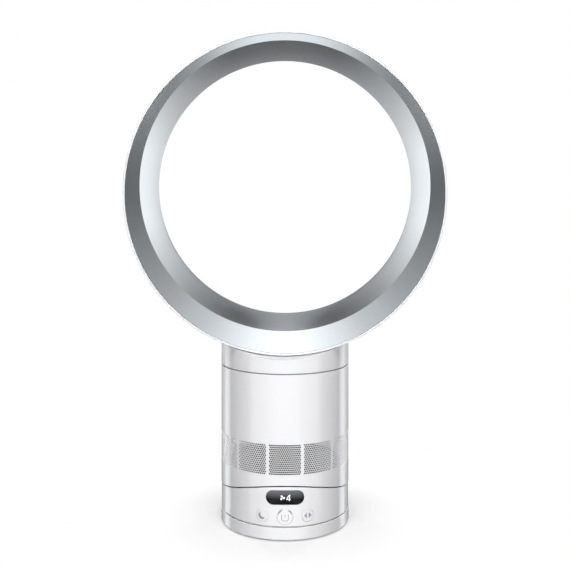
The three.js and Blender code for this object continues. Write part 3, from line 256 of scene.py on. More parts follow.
def smoked_acrylic(tree, place, smoke, painted_reflection):
    # Smoked acrylic, polished: nearly black, with a painted reflection of the bright
    # surroundings that lightens its upper part.
    height = add_node(tree, "ShaderNodeSeparateXYZ", {"Vector": place}, "Z")
    # The painted reflection rises from just below the window's middle to its top.
    rise = add_node(tree, "ShaderNodeMapRange", {
        "Value": height, "From Min": window_low.z + 0.38 * WINDOW_HEIGHT,
        "From Max": window_high.z})
    return add_node(tree, "ShaderNodeBsdfPrincipled", {
        "Base Color": add_node(tree, "ShaderNodeMix", {
            FACTOR: rise, FIRST: linear(smoke), SECOND: linear(painted_reflection)},
            BLEND, data_type="RGBA"),
        "Roughness": 0.08, "IOR": 1.49, "Specular IOR Level": 0.08})


def printed_ink_and_painted_shade(tree, place, grey):
    # Pad-printed ink: matt beside the gloss that it lies on, with a slightly uneven film.
    # The same ink paints the two arcs of shade beside the power sign.
    film = add_node(tree, "ShaderNodeTexNoise", {
        "Vector": place, "Scale": per_metre(0.6), "Detail": 2.0}, "Fac")
    return add_node(tree, "ShaderNodeBsdfPrincipled", {
        "Base Color": add_node(tree, "ShaderNodeMix", {
            FACTOR: film, FIRST: linear(grey, 0.94), SECOND: linear(grey)},
            BLEND, data_type="RGBA"),
        "Roughness": 0.55, "IOR": 1.5})


def lit_glyph(tree, place, light):
    # Diffusing film over the display's lamps: an even glow without a pattern.
    return add_node(tree, "ShaderNodeBsdfPrincipled", {
        "Base Color": linear("E8E8EA"), "Roughness": 0.4, "IOR": 1.49,
        "Emission Color": linear(light), "Emission Strength": 0.75})


def moulded_plastic(tree, place, tint, grain, roughness, ior):
    # Plastic or rubber from a spark-eroded mould: a fine, even grain that breaks the light, its
    # pits darkened with painted shade.
    pits = add_node(tree, "ShaderNodeTexNoise", {
        "Vector": place, "Scale": per_metre(grain), "Detail": 4.0}, "Fac")
    return add_node(tree, "ShaderNodeBsdfPrincipled", {
        "Base Color": add_node(tree, "ShaderNodeMix", {
            FACTOR: pits, FIRST: linear(tint, 0.9), SECOND: linear(tint)},
            BLEND, data_type="RGBA"),
        "Roughness": add_node(tree, "ShaderNodeMapRange", {
            "Value": pits, "To Min": roughness - 0.06, "To Max": roughness + 0.06}),
        "IOR": ior,
        "Normal": add_node(tree, "ShaderNodeBump", {
            "Strength": 0.25, "Distance": 0.05 * MM, "Height": pits})})


def open_cell_foam(tree, place, grey):
    # Open-cell acoustic foam, cut from a block: cells of about 1 mm, their depths darkened with
    # painted shade.
    cells = add_node(tree, "ShaderNodeTexVoronoi", {
        "Vector": place, "Scale": per_metre(1.1)}, "Distance")
    return add_node(tree, "ShaderNodeBsdfPrincipled", {
        "Base Color": add_node(tree, "ShaderNodeMix", {
            FACTOR: cells, FIRST: linear(grey, 0.5), SECOND: linear(grey)},
            BLEND, data_type="RGBA"),
        "Roughness": 0.95, "IOR": 1.5,
        "Normal": add_node(tree, "ShaderNodeBump", {
            "Strength": 0.8, "Distance": 0.5 * MM, "Height": cells})})


def zinc_plated_steel(tree, place, zinc):
    # Pressed steel with a bright zinc plating: soft grey metal with faint spangles.
    spangle = add_node(tree, "ShaderNodeTexVoronoi", {
        "Vector": place, "Scale": per_metre(2.5)}, "Color")
    return add_node(tree, "ShaderNodeBsdfPrincipled", {
        "Base Color": add_node(tree, "ShaderNodeMix", {
            FACTOR: add_node(tree, "ShaderNodeSeparateColor", {"Color": spangle}, "Red"),
            FIRST: linear(zinc, 0.88), SECOND: linear(zinc)}, BLEND, data_type="RGBA"),
        "Metallic": 1.0,
        "Roughness": add_node(tree, "ShaderNodeMapRange", {
            "Value": add_node(tree, "ShaderNodeSeparateColor", {"Color": spangle}, "Green"),
            "To Min": 0.3, "To Max": 0.45})})


def glass_epoxy_board(tree, place, mask):
    # Glass-epoxy board under green solder mask: the weave of its glass cloth shows as a fine
    # grid, 0.6 mm a thread.
    warp, weft = (add_node(tree, "ShaderNodeTexWave", {
        "Vector": place, "Scale": per_metre(0.6) / 6.28, "Distortion": 0.4}, "Fac",
        bands_direction=way) for way in ("X", "Y"))
    cloth = add_node(tree, "ShaderNodeMath", {0: warp, 1: weft}, operation="MULTIPLY")
    return add_node(tree, "ShaderNodeBsdfPrincipled", {
        "Base Color": add_node(tree, "ShaderNodeMix", {
            FACTOR: cloth, FIRST: linear(mask, 0.75), SECOND: linear(mask)},
            BLEND, data_type="RGBA"),
        "Roughness": 0.35, "IOR": 1.55})


def make_materials(colours):
    """Every finish of the fan, by a short name. A moulded plastic has the size of its grain
    in millimetres, its roughness and its IOR."""
    recipes = {
        "casing": ("polished_abs", polished_abs, colours.casing),
        "lacquer": ("silver_lacquer", silver_lacquer, colours.lacquer),
        "window": ("smoked_acrylic", smoked_acrylic, colours.window, colours.window_painted_reflection),
        "ink": ("printed_ink_and_painted_shade", printed_ink_and_painted_shade, colours.print_and_shade_ink),
        "glyph": ("lit_glyph", lit_glyph, colours.glyph),
        "grey": ("moulded_polypropylene", moulded_plastic, colours.grey, 0.5, 0.5, 1.49),
        "dark": ("glass_filled_nylon", moulded_plastic, colours.dark, 0.35, 0.55, 1.53),
        "acetal": ("natural_acetal", moulded_plastic, colours.acetal, 0.6, 0.38, 1.48),
        "rubber": ("moulded_rubber", moulded_plastic, colours.rubber, 0.25, 0.8, 1.52),
        "foam": ("open_cell_foam", open_cell_foam, colours.foam),
        "steel": ("zinc_plated_steel", zinc_plated_steel, colours.steel),
        "board": ("glass_epoxy_board", glass_epoxy_board, colours.board),
    }
    return {short: new_material(*recipe) for short, recipe in recipes.items()}


materials = {}


def finish(name):
    """The material of that name; the first call makes them all."""
    if not materials:
        materials.update(make_materials(bpy.context.scene.fan_colours))
    return materials[name]


# ---- Meshes -------------------------------------------------------------------------------

def new_piece(name, vertices, faces):
    """A mesh with its faces pointing out."""
    mesh = bpy.data.meshes.new(name)
    mesh.from_pydata(vertices, [], faces)
    work = bmesh.new()
    work.from_mesh(mesh)
    bmesh.ops.remove_doubles(work, verts=work.verts, dist=1e-7)
    bmesh.ops.recalc_face_normals(work, faces=work.faces)
    work.to_mesh(mesh)
    work.free()
    piece = bpy.data.objects.new(name, mesh)
    bpy.context.scene.collection.objects.link(piece)
    return piece


def settle(piece):
    """Puts what the piece's modifiers make into its mesh."""
    graph = bpy.context.evaluated_depsgraph_get()
    made = bpy.data.meshes.new_from_object(piece.evaluated_get(graph))
    piece.modifiers.clear()
    piece.data = made


def combine(piece, tool, operation):
    """Cuts piece with tool or joins the two, and removes the tool."""
    step = piece.modifiers.new("combine", "BOOLEAN")
    step.object = tool
    step.operation = operation
    step.solver = "EXACT"
    settle(piece)
    bpy.data.objects.remove(tool)


def dress(piece, body, material, slot, *nodes, sharp=32):
    """Gives a piece its finish, its body and the CAD nodes it stands for. Edges steeper than
    sharp, in degrees, stay crisp."""
    piece.data.polygons.foreach_set("use_smooth", [True] * len(piece.data.polygons))
    piece.data.set_sharp_from_angle(angle=math.radians(sharp))
    # The large faces settle the shading where a cut left small ones beside them.
    piece.modifiers.new("even_out", "WEIGHTED_NORMAL").keep_sharp = True
    settle(piece)
    piece.data.materials.clear()
    piece.data.materials.append(finish(material))
    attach(piece, body)
    if nodes:
        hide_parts(*nodes)


def rounded(corners, radius, steps=4):
    """A closed outline with its corners rounded. A corner may carry its own radius."""
    made = []
    for i, corner in enumerate(corners):
        here = Vector(corner[:2])
        back = Vector(corners[i - 1][:2]) - here
        ahead = Vector(corners[(i + 1) % len(corners)][:2]) - here
        reach = corner[2] if len(corner) > 2 else radius
        pull = min(reach / math.tan(back.angle(ahead) / 2), back.length * 0.49,
                   ahead.length * 0.49)
        start = here + back.normalized() * pull
        end = here + ahead.normalized() * pull
        for step in range(steps + 1):
            t = step / steps
            made.append(tuple(
                start * (1 - t) ** 2 + here * (2 * t * (1 - t)) + end * t ** 2))
    return made


def circle(radius, count, middle=(0.0, 0.0), shift=0.0):
    """Points round a circle, turned by a share of one step."""
    turns = (2 * math.pi * (k + shift) / count for k in range(count))
    return [(middle[0] + radius * math.cos(t), middle[1] + radius * math.sin(t))
            for t in turns]


def ring_faces(rings, count, closed=True):
    """Quads between rings of count points each. Closed ones join the last ring's points to
    the first ring's and the end of each ring to its start."""
    faces = []
    for i in range(rings):
        for j in range(count if closed else count - 1):
            ahead, n = (i + 1) % rings, (j + 1) % count
            faces.append((i * count + j, i * count + n, ahead * count + n,
                          ahead * count + j))
    return faces


def capped_faces(rings, count):
    """Faces of a solid made of rings of count points, with a flat face at each end."""
    faces = [tuple(range(count)), tuple(range((rings - 1) * count, rings * count))]
    for i in range(rings - 1):
        for j in range(count):
            n = (j + 1) % count
            faces.append((i * count + j, i * count + n, (i + 1) * count + n,
                          (i + 1) * count + j))
    return faces


def round_column(section_at, segments):
    """Points of sections of (radius, height) set round the column's axis, from the front."""
    return [(r * math.sin(angle), -r * math.cos(angle), z)
            for angle in (2 * math.pi * i / segments for i in range(segments))
            for r, z in section_at(angle)]


def round_level_axis(section_at, segments, height):
    """Points of sections of (depth, radius) set round a level axis at that height."""
    return [(r * math.cos(angle), y, height + r * math.sin(angle))
            for angle in (2 * math.pi * i / segments for i in range(segments))
            for y, r in section_at(angle)]


def extruded(name, outline, low, high, axis="Y"):
    """An outline run straight along an axis, used as a cutting tool."""
    vertices = [{"X": (along, u, v), "Y": (u, along, v), "Z": (u, v, along)}[axis]
                for along in (low, high) for u, v in outline]
    return new_piece(name, vertices, capped_faces(2, len(outline)))


def tilt_edge(radius, angle, tilt_radius):
    """Height of the curved seam on a round wall, at an angle from the front."""
    return TILT_AXIS - math.sqrt(tilt_radius ** 2 - (radius * math.cos(angle)) ** 2)


def rounded_rim(outer, inner, edge, height_at, upward):
    """Points (radius, height) over the rim of a wall, from its outside to its inside."""
    steps = 4
    sign = -1 if upward else 1
    turns = [math.pi / 2 * step / steps for step in range(steps + 1)]
    points = [(outer - edge * (1 - math.cos(t)), 1 - math.sin(t)) for t in turns]
    points += [(inner + edge * (1 - math.sin(t)), 1 - math.cos(t)) for t in turns]
    return [(r, height_at(r) + sign * edge * drop) for r, drop in points]


# ---- Nozzle -------------------------------------------------------------------------------

RING_STEPS = 288
FRONT_LIP = 0.7 * MM
LACQUERED_WALL = 2.0 * MM


def outer_reach(angle, rise):
    """Distance from the bore's axis to the ring's outer circle."""
    across = rise * math.cos(angle)
    return math.sqrt(RING_RADIUS ** 2 - across ** 2) - rise * math.sin(angle)


def half_ellipse(start, outside, inside, depth, steps):
    """Points (depth, radius) over a rounded back edge, from its outside to its inside."""
    middle = (outside + inside) / 2
    half = (outside - inside) / 2
    turns = [math.pi / 2 - math.pi * i / steps for i in range(steps + 1)]
    return [(start + depth * math.cos(t), middle + half * math.sin(t)) for t in turns]


def outer_section(angle, sizes):
    """Outside of the ring, its rounded back edge and the tail inside the bore."""
    outside = outer_reach(angle, sizes.bore_rise)
    wall, lip = sizes.ring_wall, FRONT_LIP
    start = RING_BACK - sizes.nose
    throat = sizes.throat + sizes.tail_setback
    tail = start - sizes.tail
    skin = half_ellipse(start, outside, throat, sizes.nose, 24)
    lining = half_ellipse(start, outside - wall, throat + wall, sizes.nose - wall, 16)
    front = [(RING_FRONT + lip * (1 - math.cos(t)), outside - lip * (1 - math.sin(t)))
             for t in (math.pi / 2 * k / 4 for k in range(5))]
    inner = [(RING_FRONT + lip * (1 - math.sin(t)) / 2,
              outside - wall + lip / 2 * (1 - math.cos(t)))
             for t in (math.pi / 2 * k / 3 for k in range(4))]
    tip = [(tail + 0.15 * MM, throat), (tail, throat + 0.12 * MM), (tail, throat + 0.35 * MM)]
    return front + skin + tip + lining[::-1] + inner


def inner_section(angle, sizes):
    """Bore, front bevel and back lip of the ring. The bore ends just in front of the outer
    casing's tail, and the air slot runs between the two."""
    clearance = 0.3 * MM
    rim = outer_reach(angle, sizes.bore_rise) - sizes.ring_wall - clearance
    start = RING_BACK - sizes.nose
    tail = start - sizes.tail
    mouth = tail - sizes.mouth
    slot = sizes.throat + sizes.tail_setback + sizes.ring_wall + 1.0 * MM
    crease_y = RING_FRONT + sizes.crease_setback - sizes.crease_lean * math.sin(angle)
    wall = LACQUERED_WALL
    bevel_steps, bore_steps = 6, 24
    bevel = [(RING_FRONT + (crease_y - RING_FRONT) * t, rim + (sizes.crease - rim) * t)
             for t in (k / bevel_steps for k in range(bevel_steps + 1))]
    # The bore narrows quickly behind the crease and runs out straight at the slot.
    bore = [(crease_y + (mouth - crease_y) * t,
             sizes.throat + (sizes.crease - sizes.throat) * (1 - t) ** 1.35)
            for t in (k / bore_steps for k in range(1, bore_steps + 1))]
    lip = [(mouth + 0.2 * MM, sizes.throat + 0.4 * MM), (tail + 1.5 * MM, slot - 0.6 * MM),
           (start, slot), (start + 2.6 * MM, slot + 0.5 * MM), (start + 5 * MM, slot + wall),
           (start + 4 * MM, slot + 1.5 * wall), (start, slot + wall)]
    back = [(y, r + wall) for y, r in reversed([(crease_y + wall, sizes.crease)] + bore[1:])]
    return bevel + bore + lip + back + [(RING_FRONT + wall, rim)]


def ring_piece(name, section_of, sizes):
    """A part of the ring, lofted round the bore's axis."""
    vertices = round_level_axis(
        lambda angle: section_of(angle, sizes), RING_STEPS, RING_CENTRE + sizes.bore_rise)
    return new_piece(name, vertices, ring_faces(RING_STEPS, len(vertices) // RING_STEPS))


def ring_bar(grow, low, high):
    """A bar as thick as the ring, along its axis."""
    outline = circle(RING_RADIUS + grow, 2 * RING_STEPS, (0.0, RING_CENTRE), 0.5)
    return extruded("ring_bar", outline, low, high)


def make_neck(sizes):
    """Round neck under the ring, hollowed to the ring's outer circle in front and behind,
    with a shadow gap where the two meet."""
    segments = 384
    bottom, edge = outer_low.z, sizes.edge
    top = RING_CENTRE - RING_RADIUS + 40 * MM
    profile = [(COLUMN_RADIUS - edge, bottom),
               (COLUMN_RADIUS - 0.3 * edge, bottom + 0.3 * edge),
               (COLUMN_RADIUS, bottom + edge), (COLUMN_RADIUS, top)]
    count = len(profile)
    faces = ring_faces(segments, count, closed=False)
    faces += [tuple(i * count + end for i in range(segments)) for end in (0, count - 1)]
    neck = new_piece("Nozzle_neck", round_column(lambda angle: profile, segments), faces)
    past = COLUMN_RADIUS + 5 * MM
    gap_depth = 28 * MM
    for grow, low, high in (
            (-sizes.ring_wall / 2, -past, past),
            (sizes.groove, -past, RING_FRONT + gap_depth),
            (sizes.groove, RING_BACK - sizes.nose - gap_depth, past)):
        combine(neck, ring_bar(grow, low, high), "DIFFERENCE")
    return neck


class FAN_OT_make_nozzle(bpy.types.Operator):
    """Makes the ring's outer casing with its neck, and the silver inner casing"""
    bl_idname = "fan.make_nozzle"
    bl_label = "Make nozzle"

    def execute(self, context):
        sizes = context.scene.fan_sizes
        outer = ring_piece("Nozzle_outer_shell", outer_section, sizes)
        combine(outer, make_neck(sizes), "UNION")
        past = COLUMN_RADIUS + 5 * MM
        airway = extruded("airway", circle(COLUMN_RADIUS - sizes.wall, 192, shift=0.5),
                          outer_low.z - MM, RING_CENTRE - 100 * MM, "Z")
        combine(airway, ring_bar(sizes.ring_wall, -past, past), "DIFFERENCE")
        combine(outer, airway, "DIFFERENCE")
        dress(outer, "column", "casing", "white_casing", "nozzle_outer_casing")
        inner = ring_piece("Nozzle_inner_bore", inner_section, sizes)
        dress(inner, "column", "lacquer", "silver_lacquer", "nozzle_inner_casing", sharp=20)
        return {"FINISHED"}


# ---- Body casing --------------------------------------------------------------------------

def casing_angles(sizes, counts):
    """Angles from the front of every upright line of the casing, panel by panel. Half a
    hole's pitch lies between two lines, and a strip has one line in its middle."""
    panel = 2 * math.pi / counts.panels
    steps = 2 * counts.holes + 1
    reach = panel / 2 - sizes.strip / 2 / COLUMN_RADIUS
    angles = []
    for k in range(counts.panels):
        angles += [k * panel - reach + 2 * reach * i / steps for i in range(steps + 1)]
        angles.append((k + 0.5) * panel)
    return angles


def make_perforated_casing(sizes, counts):
    """Tube of the column, with its thousands of holes as real openings. Skin 0 is its
    outside and skin 1 the inside of the thin perforated wall."""
    outer, inner = COLUMN_RADIUS, COLUMN_RADIUS - sizes.wall
    skins = (outer, COLUMN_RADIUS - sizes.grille_wall)
    angles = casing_angles(sizes, counts)
    total = len(angles)
    steps = 2 * counts.holes + 1
    row_height = (sizes.grille_top - sizes.grille_bottom) / counts.rows
    sides = range(8)
    vertices, faces, known = [], [], {}

    def point(key, radius, angle, height):
        if key not in known:
            known[key] = len(vertices)
            vertices.append((radius * math.sin(angle), -radius * math.cos(angle), height))
        return known[key]

    def lattice(skin, column, half_row):
        column %= total
        height = sizes.grille_bottom + half_row * row_height / 2
        return point((skin, column, half_row), skins[skin], angles[column], height)

    def plain_cell(skin, left, row, left_middle, right_middle):
        """A face without a hole, with a point halfway up beside a neighbour's hole."""
        right, low, mid, high = left + 1, 2 * row, 2 * row + 1, 2 * row + 2
        corners = [(left, low), (right, low)] + [(right, mid)] * right_middle
        corners += [(right, high), (left, high)] + [(left, mid)] * left_middle
        faces.append(tuple(lattice(skin, *corner) for corner in corners))

    def hole(left, row):
        """An eight-sided hole, the faces round it on both skins, and its own wall."""
        low, mid, high = 2 * row, 2 * row + 1, 2 * row + 2
        around = [(left, low), (left + 1, low), (left + 2, low), (left + 2, mid),
                  (left + 2, high), (left + 1, high), (left, high), (left, mid)]
        centre = angles[(left + 1) % total]
        height = sizes.grille_bottom + mid * row_height / 2
        reach = sizes.hole / 2
        rims = []
        for skin, radius in enumerate(skins):
            turns = [math.radians(45 * k - 135) for k in sides]
            rim = [point((skin, left, row, k), radius, centre + reach * math.cos(t) / outer,
                         height + reach * math.sin(t)) for k, t in enumerate(turns)]
            rims.append(rim)
            faces.extend((lattice(skin, *around[k]), lattice(skin, *around[k - 7]),
                          rim[k - 7], rim[k]) for k in sides)
        faces.extend((rims[0][k], rims[0][k - 7], rims[1][k - 7], rims[1][k]) for k in sides)

    for panel in range(counts.panels):
        first = panel * (steps + 2)
        for row in range(counts.rows):
            # Every other row starts half a pitch further on.
            odd = row % 2
            for k in range(counts.holes):
                hole(first + odd + 2 * k, row)
            for skin in (0, 1):
                if odd:
                    plain_cell(skin, first, row, False, True)
                else:
                    plain_cell(skin, first + steps - 1, row, True, False)
                plain_cell(skin, first + steps, row, bool(odd), False)
                plain_cell(skin, first + steps + 1, row, False, not odd)

    top = casing_high.z - sizes.relief

    def line_at(column):
        """Points of the plain wall above and below the band, on one upright line."""
        angle = angles[column]
        above = [(outer, sizes.grille_top + (top - sizes.grille_top) * t)
                 for t in (0.33, 0.66)]
        above += rounded_rim(outer, inner, sizes.edge, lambda r: top, True)
        above.append((inner, sizes.grille_top + 2 * MM))
        below = rounded_rim(
            outer, inner, sizes.edge, lambda r: tilt_edge(r, angle, SHOE_RADIUS), False)
        below.append((inner, sizes.grille_bottom - 2 * MM))
        lines = []
        for part, wall, half_row in (("above", above, 2 * counts.rows), ("below", below, 0)):
            lines.append(
                [lattice(0, column, half_row)]
                + [point((part, column, n), r, angle, z) for n, (r, z) in enumerate(wall)]
                + [lattice(1, column, half_row)])
        return lines

    for column in range(total):
        for here, ahead in zip(line_at(column), line_at((column + 1) % total)):
            faces.extend((here[k], ahead[k], ahead[k + 1], here[k + 1])
                         for k in range(len(here) - 1))
    return new_piece("Body_casing_perforated", vertices, faces)


class FAN_OT_make_body_casing(bpy.types.Operator):
    """Makes the column's casing with its perforated inlet band"""
    bl_idname = "fan.make_body_casing"
    bl_label = "Make body casing"

    def execute(self, context):
        scene = context.scene
        casing = make_perforated_casing(scene.fan_sizes, scene.fan_counts)
        dress(casing, "column", "casing", "white_casing", "body_casing", sharp=40)
        return {"FINISHED"}


# ---- Tilt slide ---------------------------------------------------------------------------

class FAN_OT_make_tilt_slide(bpy.types.Operator):
    """Makes the smooth cradle that the column tilts on"""
    bl_idname = "fan.make_tilt_slide"
    bl_label = "Make tilt slide"

    def execute(self, context):
        seam = context.scene.fan_sizes.seam
        past = 2 * COLUMN_RADIUS
        cradle = extruded("Tilt_cradle_plate", circle(cradle_high.x, 256, shift=0.5),
                          20 * MM, TILT_AXIS, "Z")
        for radius, operation in ((CRADLE_RADIUS, "INTERSECT"),
                                  (SHOE_RADIUS + seam, "DIFFERENCE")):
            arc = circle(radius, 720, (0.0, TILT_AXIS), 0.5)
            combine(cradle, extruded("arc", arc, -past, past, "X"), operation)
        # A slot for each keeper, which slides in it as the column tilts.
        keeper = (keeper_low.x + keeper_high.x) / 2
        half_width, half_length = 4.3 * MM, 42 * MM
        for side in (-1, 1):
            left, right = side * keeper - half_width, side * keeper + half_width
            slot = [(left, 30 * MM), (right, 30 * MM), (right, 60 * MM), (left, 60 * MM)]
            combine(cradle, extruded("slot", slot, -half_length, half_length), "DIFFERENCE")
        dress(cradle, "control_section", "grey", "grey_plastic", "tilt_cradle")
        return {"FINISHED"}


# ---- Control section ----------------------------------------------------------------------

def stadium(width, height, middle=0.0, count=64):
    """Outline with round ends, of the same number of points whatever its size."""
    radius = height / 2
    reach = width / 2 - radius
    half = count // 2
    points = []
    for side in (1, -1):
        for k in range(half + 1):
            t = -side * math.pi / 2 + math.pi * k / half
            points.append((side * reach + radius * math.cos(t), middle + radius * math.sin(t)))
    return points


def curved_cap(name, outline_at, height, back, edge, dome=0.0):
    """A cap that follows the round housing, with a rounded edge and a flat back. Outline_at
    gives its outline, drawn in by an inset."""
    outline = outline_at(0.0)
    top = max(v for _, v in outline)

    def surface(u, v, drop):
        swell = dome * (1 - (v / top) ** 2)
        return (u, -math.sqrt((CONTROL_RADIUS + swell) ** 2 - u ** 2) + drop, height + v)

    rows = [[(u, back, height + v) for u, v in outline]]
    for t in (math.pi / 2 * k / 4 for k in range(5)):
        rows.append([surface(u, v, edge * (1 - math.sin(t)))
                     for u, v in outline_at(edge * (1 - math.cos(t)))])
    for share in (0.9, 0.75, 0.6, 0.45, 0.3, 0.15):
        rows.append([surface(u * share, v * share, 0.0) for u, v in outline_at(edge)])
    return new_piece(name, [p for row in rows for p in row],
                     capped_faces(len(rows), len(outline)))


def swung(piece, angle):
    """Turns a piece made at the front to its own place round the column."""
    piece.data.transform(Matrix.Rotation(angle, 4, "Z"))
    return piece


def button_places():
    """Node, body, height, radius and angle from the front of each button."""
    for node in ("sleep_button", "power_button", "oscillate_button"):
        low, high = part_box(node)
        push = Vector(JOINTS[node.replace("button", "press")]["axis"])
        yield (node, node.replace("button", "key"), (low.z + high.z) / 2,
               (high.z - low.z) / 2, math.atan2(-push.x, push.y))


def housing_section(angle, sizes):
    """Closed section of the control housing's wall at an angle from the front."""
    rows = 20
    outer, inner = CONTROL_RADIUS, CONTROL_RADIUS - sizes.wall
    bottom = housing_low.z + sizes.relief
    tilt = SHOE_RADIUS + sizes.seam
    upper = rounded_rim(outer, inner, sizes.edge, lambda r: tilt_edge(r, angle, tilt), True)
    lower = rounded_rim(outer, inner, sizes.edge, lambda r: bottom, False)
    first, last = lower[0][1], upper[0][1]
    wall = [(outer, first + (last - first) * k / rows) for k in range(1, rows)]
    return wall + upper + lower[::-1]


def make_control_housing(sizes):
    """Wall of the control section, with the openings of its window and buttons."""
    segments = 360
    vertices = round_column(lambda angle: housing_section(angle, sizes), segments)
    housing = new_piece("Control_housing_wall", vertices,
                        ring_faces(segments, len(vertices) // segments))
    gap = sizes.gap
    near, far = -COLUMN_RADIUS - MM, -50 * MM
    opening = stadium(WINDOW_WIDTH + 2 * gap, WINDOW_HEIGHT + 2 * gap, WINDOW_MIDDLE)
    combine(housing, extruded("opening", opening, near, far), "DIFFERENCE")
    for _, _, height, radius, angle in button_places():
        hole = extruded("hole", circle(radius + gap, 72, (0.0, height)), near, far)
        combine(housing, swung(hole, angle), "DIFFERENCE")
    return housing


class FAN_OT_make_control_section(bpy.types.Operator):
    """Makes the control section's housing and its display window"""
    bl_idname = "fan.make_control_section"
    bl_label = "Make control section"

    def execute(self, context):
        sizes = context.scene.fan_sizes
        dress(make_control_housing(sizes), "control_section", "casing", "white_casing",
              "control_housing")
        window = curved_cap(
            "Display_window_glass",
            lambda inset: stadium(WINDOW_WIDTH - 2 * inset, WINDOW_HEIGHT - 2 * inset),
            WINDOW_MIDDLE, window_high.y, 0.25 * MM, sizes.dome)
        dress(window, "control_section", "window", "black_window", "display_window", sharp=50)
        return {"FINISHED"}


# ---- Signs --------------------------------------------------------------------------------

FILM = 0.06 * MM


def ribbon(pairs, radius):
    """Points and faces of a thin strip wrapped on a round wall, from pairs of (across,
    height) points along its length."""
    vertices = [(level * math.sin(u / radius), -level * math.cos(u / radius), v)
                for level in (radius, radius - FILM) for pair in pairs for u, v in pair]
    half = 2 * len(pairs)
    faces = []
    for a in range(0, half - 2, 2):
        b, c, d = a + 1, a + 3, a + 2
        faces += [(a, b, c, d), (half + a, half + d, half + c, half + b),
                  (a, d, half + d, half + a), (b, half + b, half + c, c)]
    faces += [(a, half + a, half + a + 1, a + 1) for a in (0, half - 2)]
    return vertices, faces


def inlay(name, ribbons, radius, angle=0.0):
    """One thin piece of several ribbons that don't touch."""
    vertices, faces = [], []
    for pairs in ribbons:
        made, around = ribbon(pairs, radius)
        faces += [tuple(len(vertices) + v for v in face) for face in around]
        vertices += made
    return swung(new_piece(name, vertices, faces), angle)


def stroke_along(path, width):
    """A stroke of even width along a path of points."""
    pairs = []
    for k, at in enumerate(path):
        ahead = path[min(k + 1, len(path) - 1)] - path[max(k - 1, 0)]
        side = Vector((-ahead.y, ahead.x)).normalized() * width / 2
        pairs.append((tuple(at - side), tuple(at + side)))
    return pairs


def straight(x0, z0, x1, z1, width):
    """A straight stroke of even width."""
    start, end = Vector((x0, z0)), Vector((x1, z1))
    return stroke_along([start + (end - start) * (k / 6) for k in range(7)], width)


def tapered_arc(height, radius, width, start, sweep):
    """A band along an arc, in degrees, that narrows to both its ends."""
    pairs = []
    for t in (k / 24 for k in range(25)):
        turn = math.radians(start + sweep * t)
        half = max(width / 2 * math.sin(math.pi * t), 0.02 * MM)
        pairs.append(tuple(
            ((radius + side * half) * math.cos(turn),
             height + (radius + side * half) * math.sin(turn)) for side in (-1, 1)))
    return pairs


def crescent(height):
    """A crescent moon, open to the upper right."""
    radius = 4.0 * MM
    centre = Vector((-0.3 * MM, height))
    hollow = centre + Vector((0.42 * radius, 0.42 * radius))
    pairs = []
    for t in (math.radians(70 + 250 * k / 24) for k in range(25)):
        outer = centre + radius * Vector((math.cos(t), math.sin(t)))
        ray = outer - hollow
        inner = hollow + ray.normalized() * min(ray.length, 0.86 * radius)
        pairs.append((tuple(inner), tuple(outer)))
    return [pairs]


def arrowheads(height):
    """Two arrowheads that point left and right."""
    apart, width, tall = 2.6 * MM, 3.0 * MM, 6.4 * MM
    heads = []
    for side in (-1, 1):
        pairs = []
        for t in (k / 6 for k in range(7)):
            half = max(tall / 2 * (1 - t), 0.03 * MM)
            x = side * apart + side * width * (t - 0.5)
            pairs.append(((x, height - half), (x, height + half)))
        heads.append(pairs)
    return heads


def power_sign(height, radius):
    """A rounded cup, open at its top, with a short upright stroke, between two arcs of painted
    shade at the button's upper edge.
    """
    width, corner = 0.6 * MM, 2.4 * MM
    half, low, high = 3.7 * MM, height - 4.5 * MM, height + 2.5 * MM
    path = [Vector((-half + 0.5 * MM, high)), Vector((-half, high - 1.4 * MM))]
    for t in (math.pi + math.pi / 2 * k / 8 for k in range(9)):
        path.append(Vector((-half + corner + corner * math.cos(t),
                            low + corner + corner * math.sin(t))))
    path += [Vector((-p.x, p.y)) for p in reversed(path)]
    # Painted shade: two grey arcs at the button's upper edge stand in for the shade of a dished
    # recess.
    shade_arcs = [tapered_arc(height, radius - 0.9 * MM, 1.6 * MM, start, -62)
            for start in (168, 74)]
    stroke = straight(0.0, height - 0.7 * MM, 0.0, height + 2.3 * MM, width)
    return [stroke_along(path, width), stroke] + shade_arcs


class FAN_OT_make_buttons(bpy.types.Operator):
    """Makes the three round buttons with their printed symbols and the painted shade beside the
    power sign
    """
    bl_idname = "fan.make_buttons"
    bl_label = "Make buttons"

    def execute(self, context):
        # The flat back of a cap lies this far under the housing's wall, behind its flange.
        flange, depth = 1.5 * MM, 1.8 * MM
        inside = CONTROL_RADIUS - context.scene.fan_sizes.wall
        for node, body, height, radius, angle in button_places():
            back = depth - math.sqrt(inside ** 2 - (radius + flange) ** 2)
            cap = curved_cap(
                node.capitalize() + "_cap", lambda inset: circle(radius - inset, 72),
                height, back, 0.3 * MM)
            dress(swung(cap, angle), body, "casing", "white_casing", node)
            if body == "sleep_key":
                signs = crescent(height)
            elif body == "power_key":
                signs = power_sign(height, radius)
            else:
                signs = arrowheads(height)
            symbol = inlay(node.replace("_button", "_symbol").capitalize(), signs,
                           CONTROL_RADIUS + 0.02 * MM, angle)
            dress(symbol, body, "ink", "grey_plastic")
        return {"FINISHED"}


def fan_sign(across, height):
    """Three curved blades round a middle."""
    blades = []
    for base in (math.radians(200 + 120 * k) for k in range(3)):
        pairs = []
        for t in (j / 8 for j in range(9)):
            turn = base + 0.9 * t
            reach = (0.45 + 2.3 * t) * MM
            half = (0.12 + 0.72 * math.sin(math.pi * min(1.0, 0.08 + 0.85 * t))) * MM
            at = Vector((across + reach * math.cos(turn), height + reach * math.sin(turn)))
            side = Vector((-math.sin(turn + 0.5), math.cos(turn + 0.5))) * half
            pairs.append((tuple(at - side), tuple(at + side)))
        blades.append(pairs)
    return blades


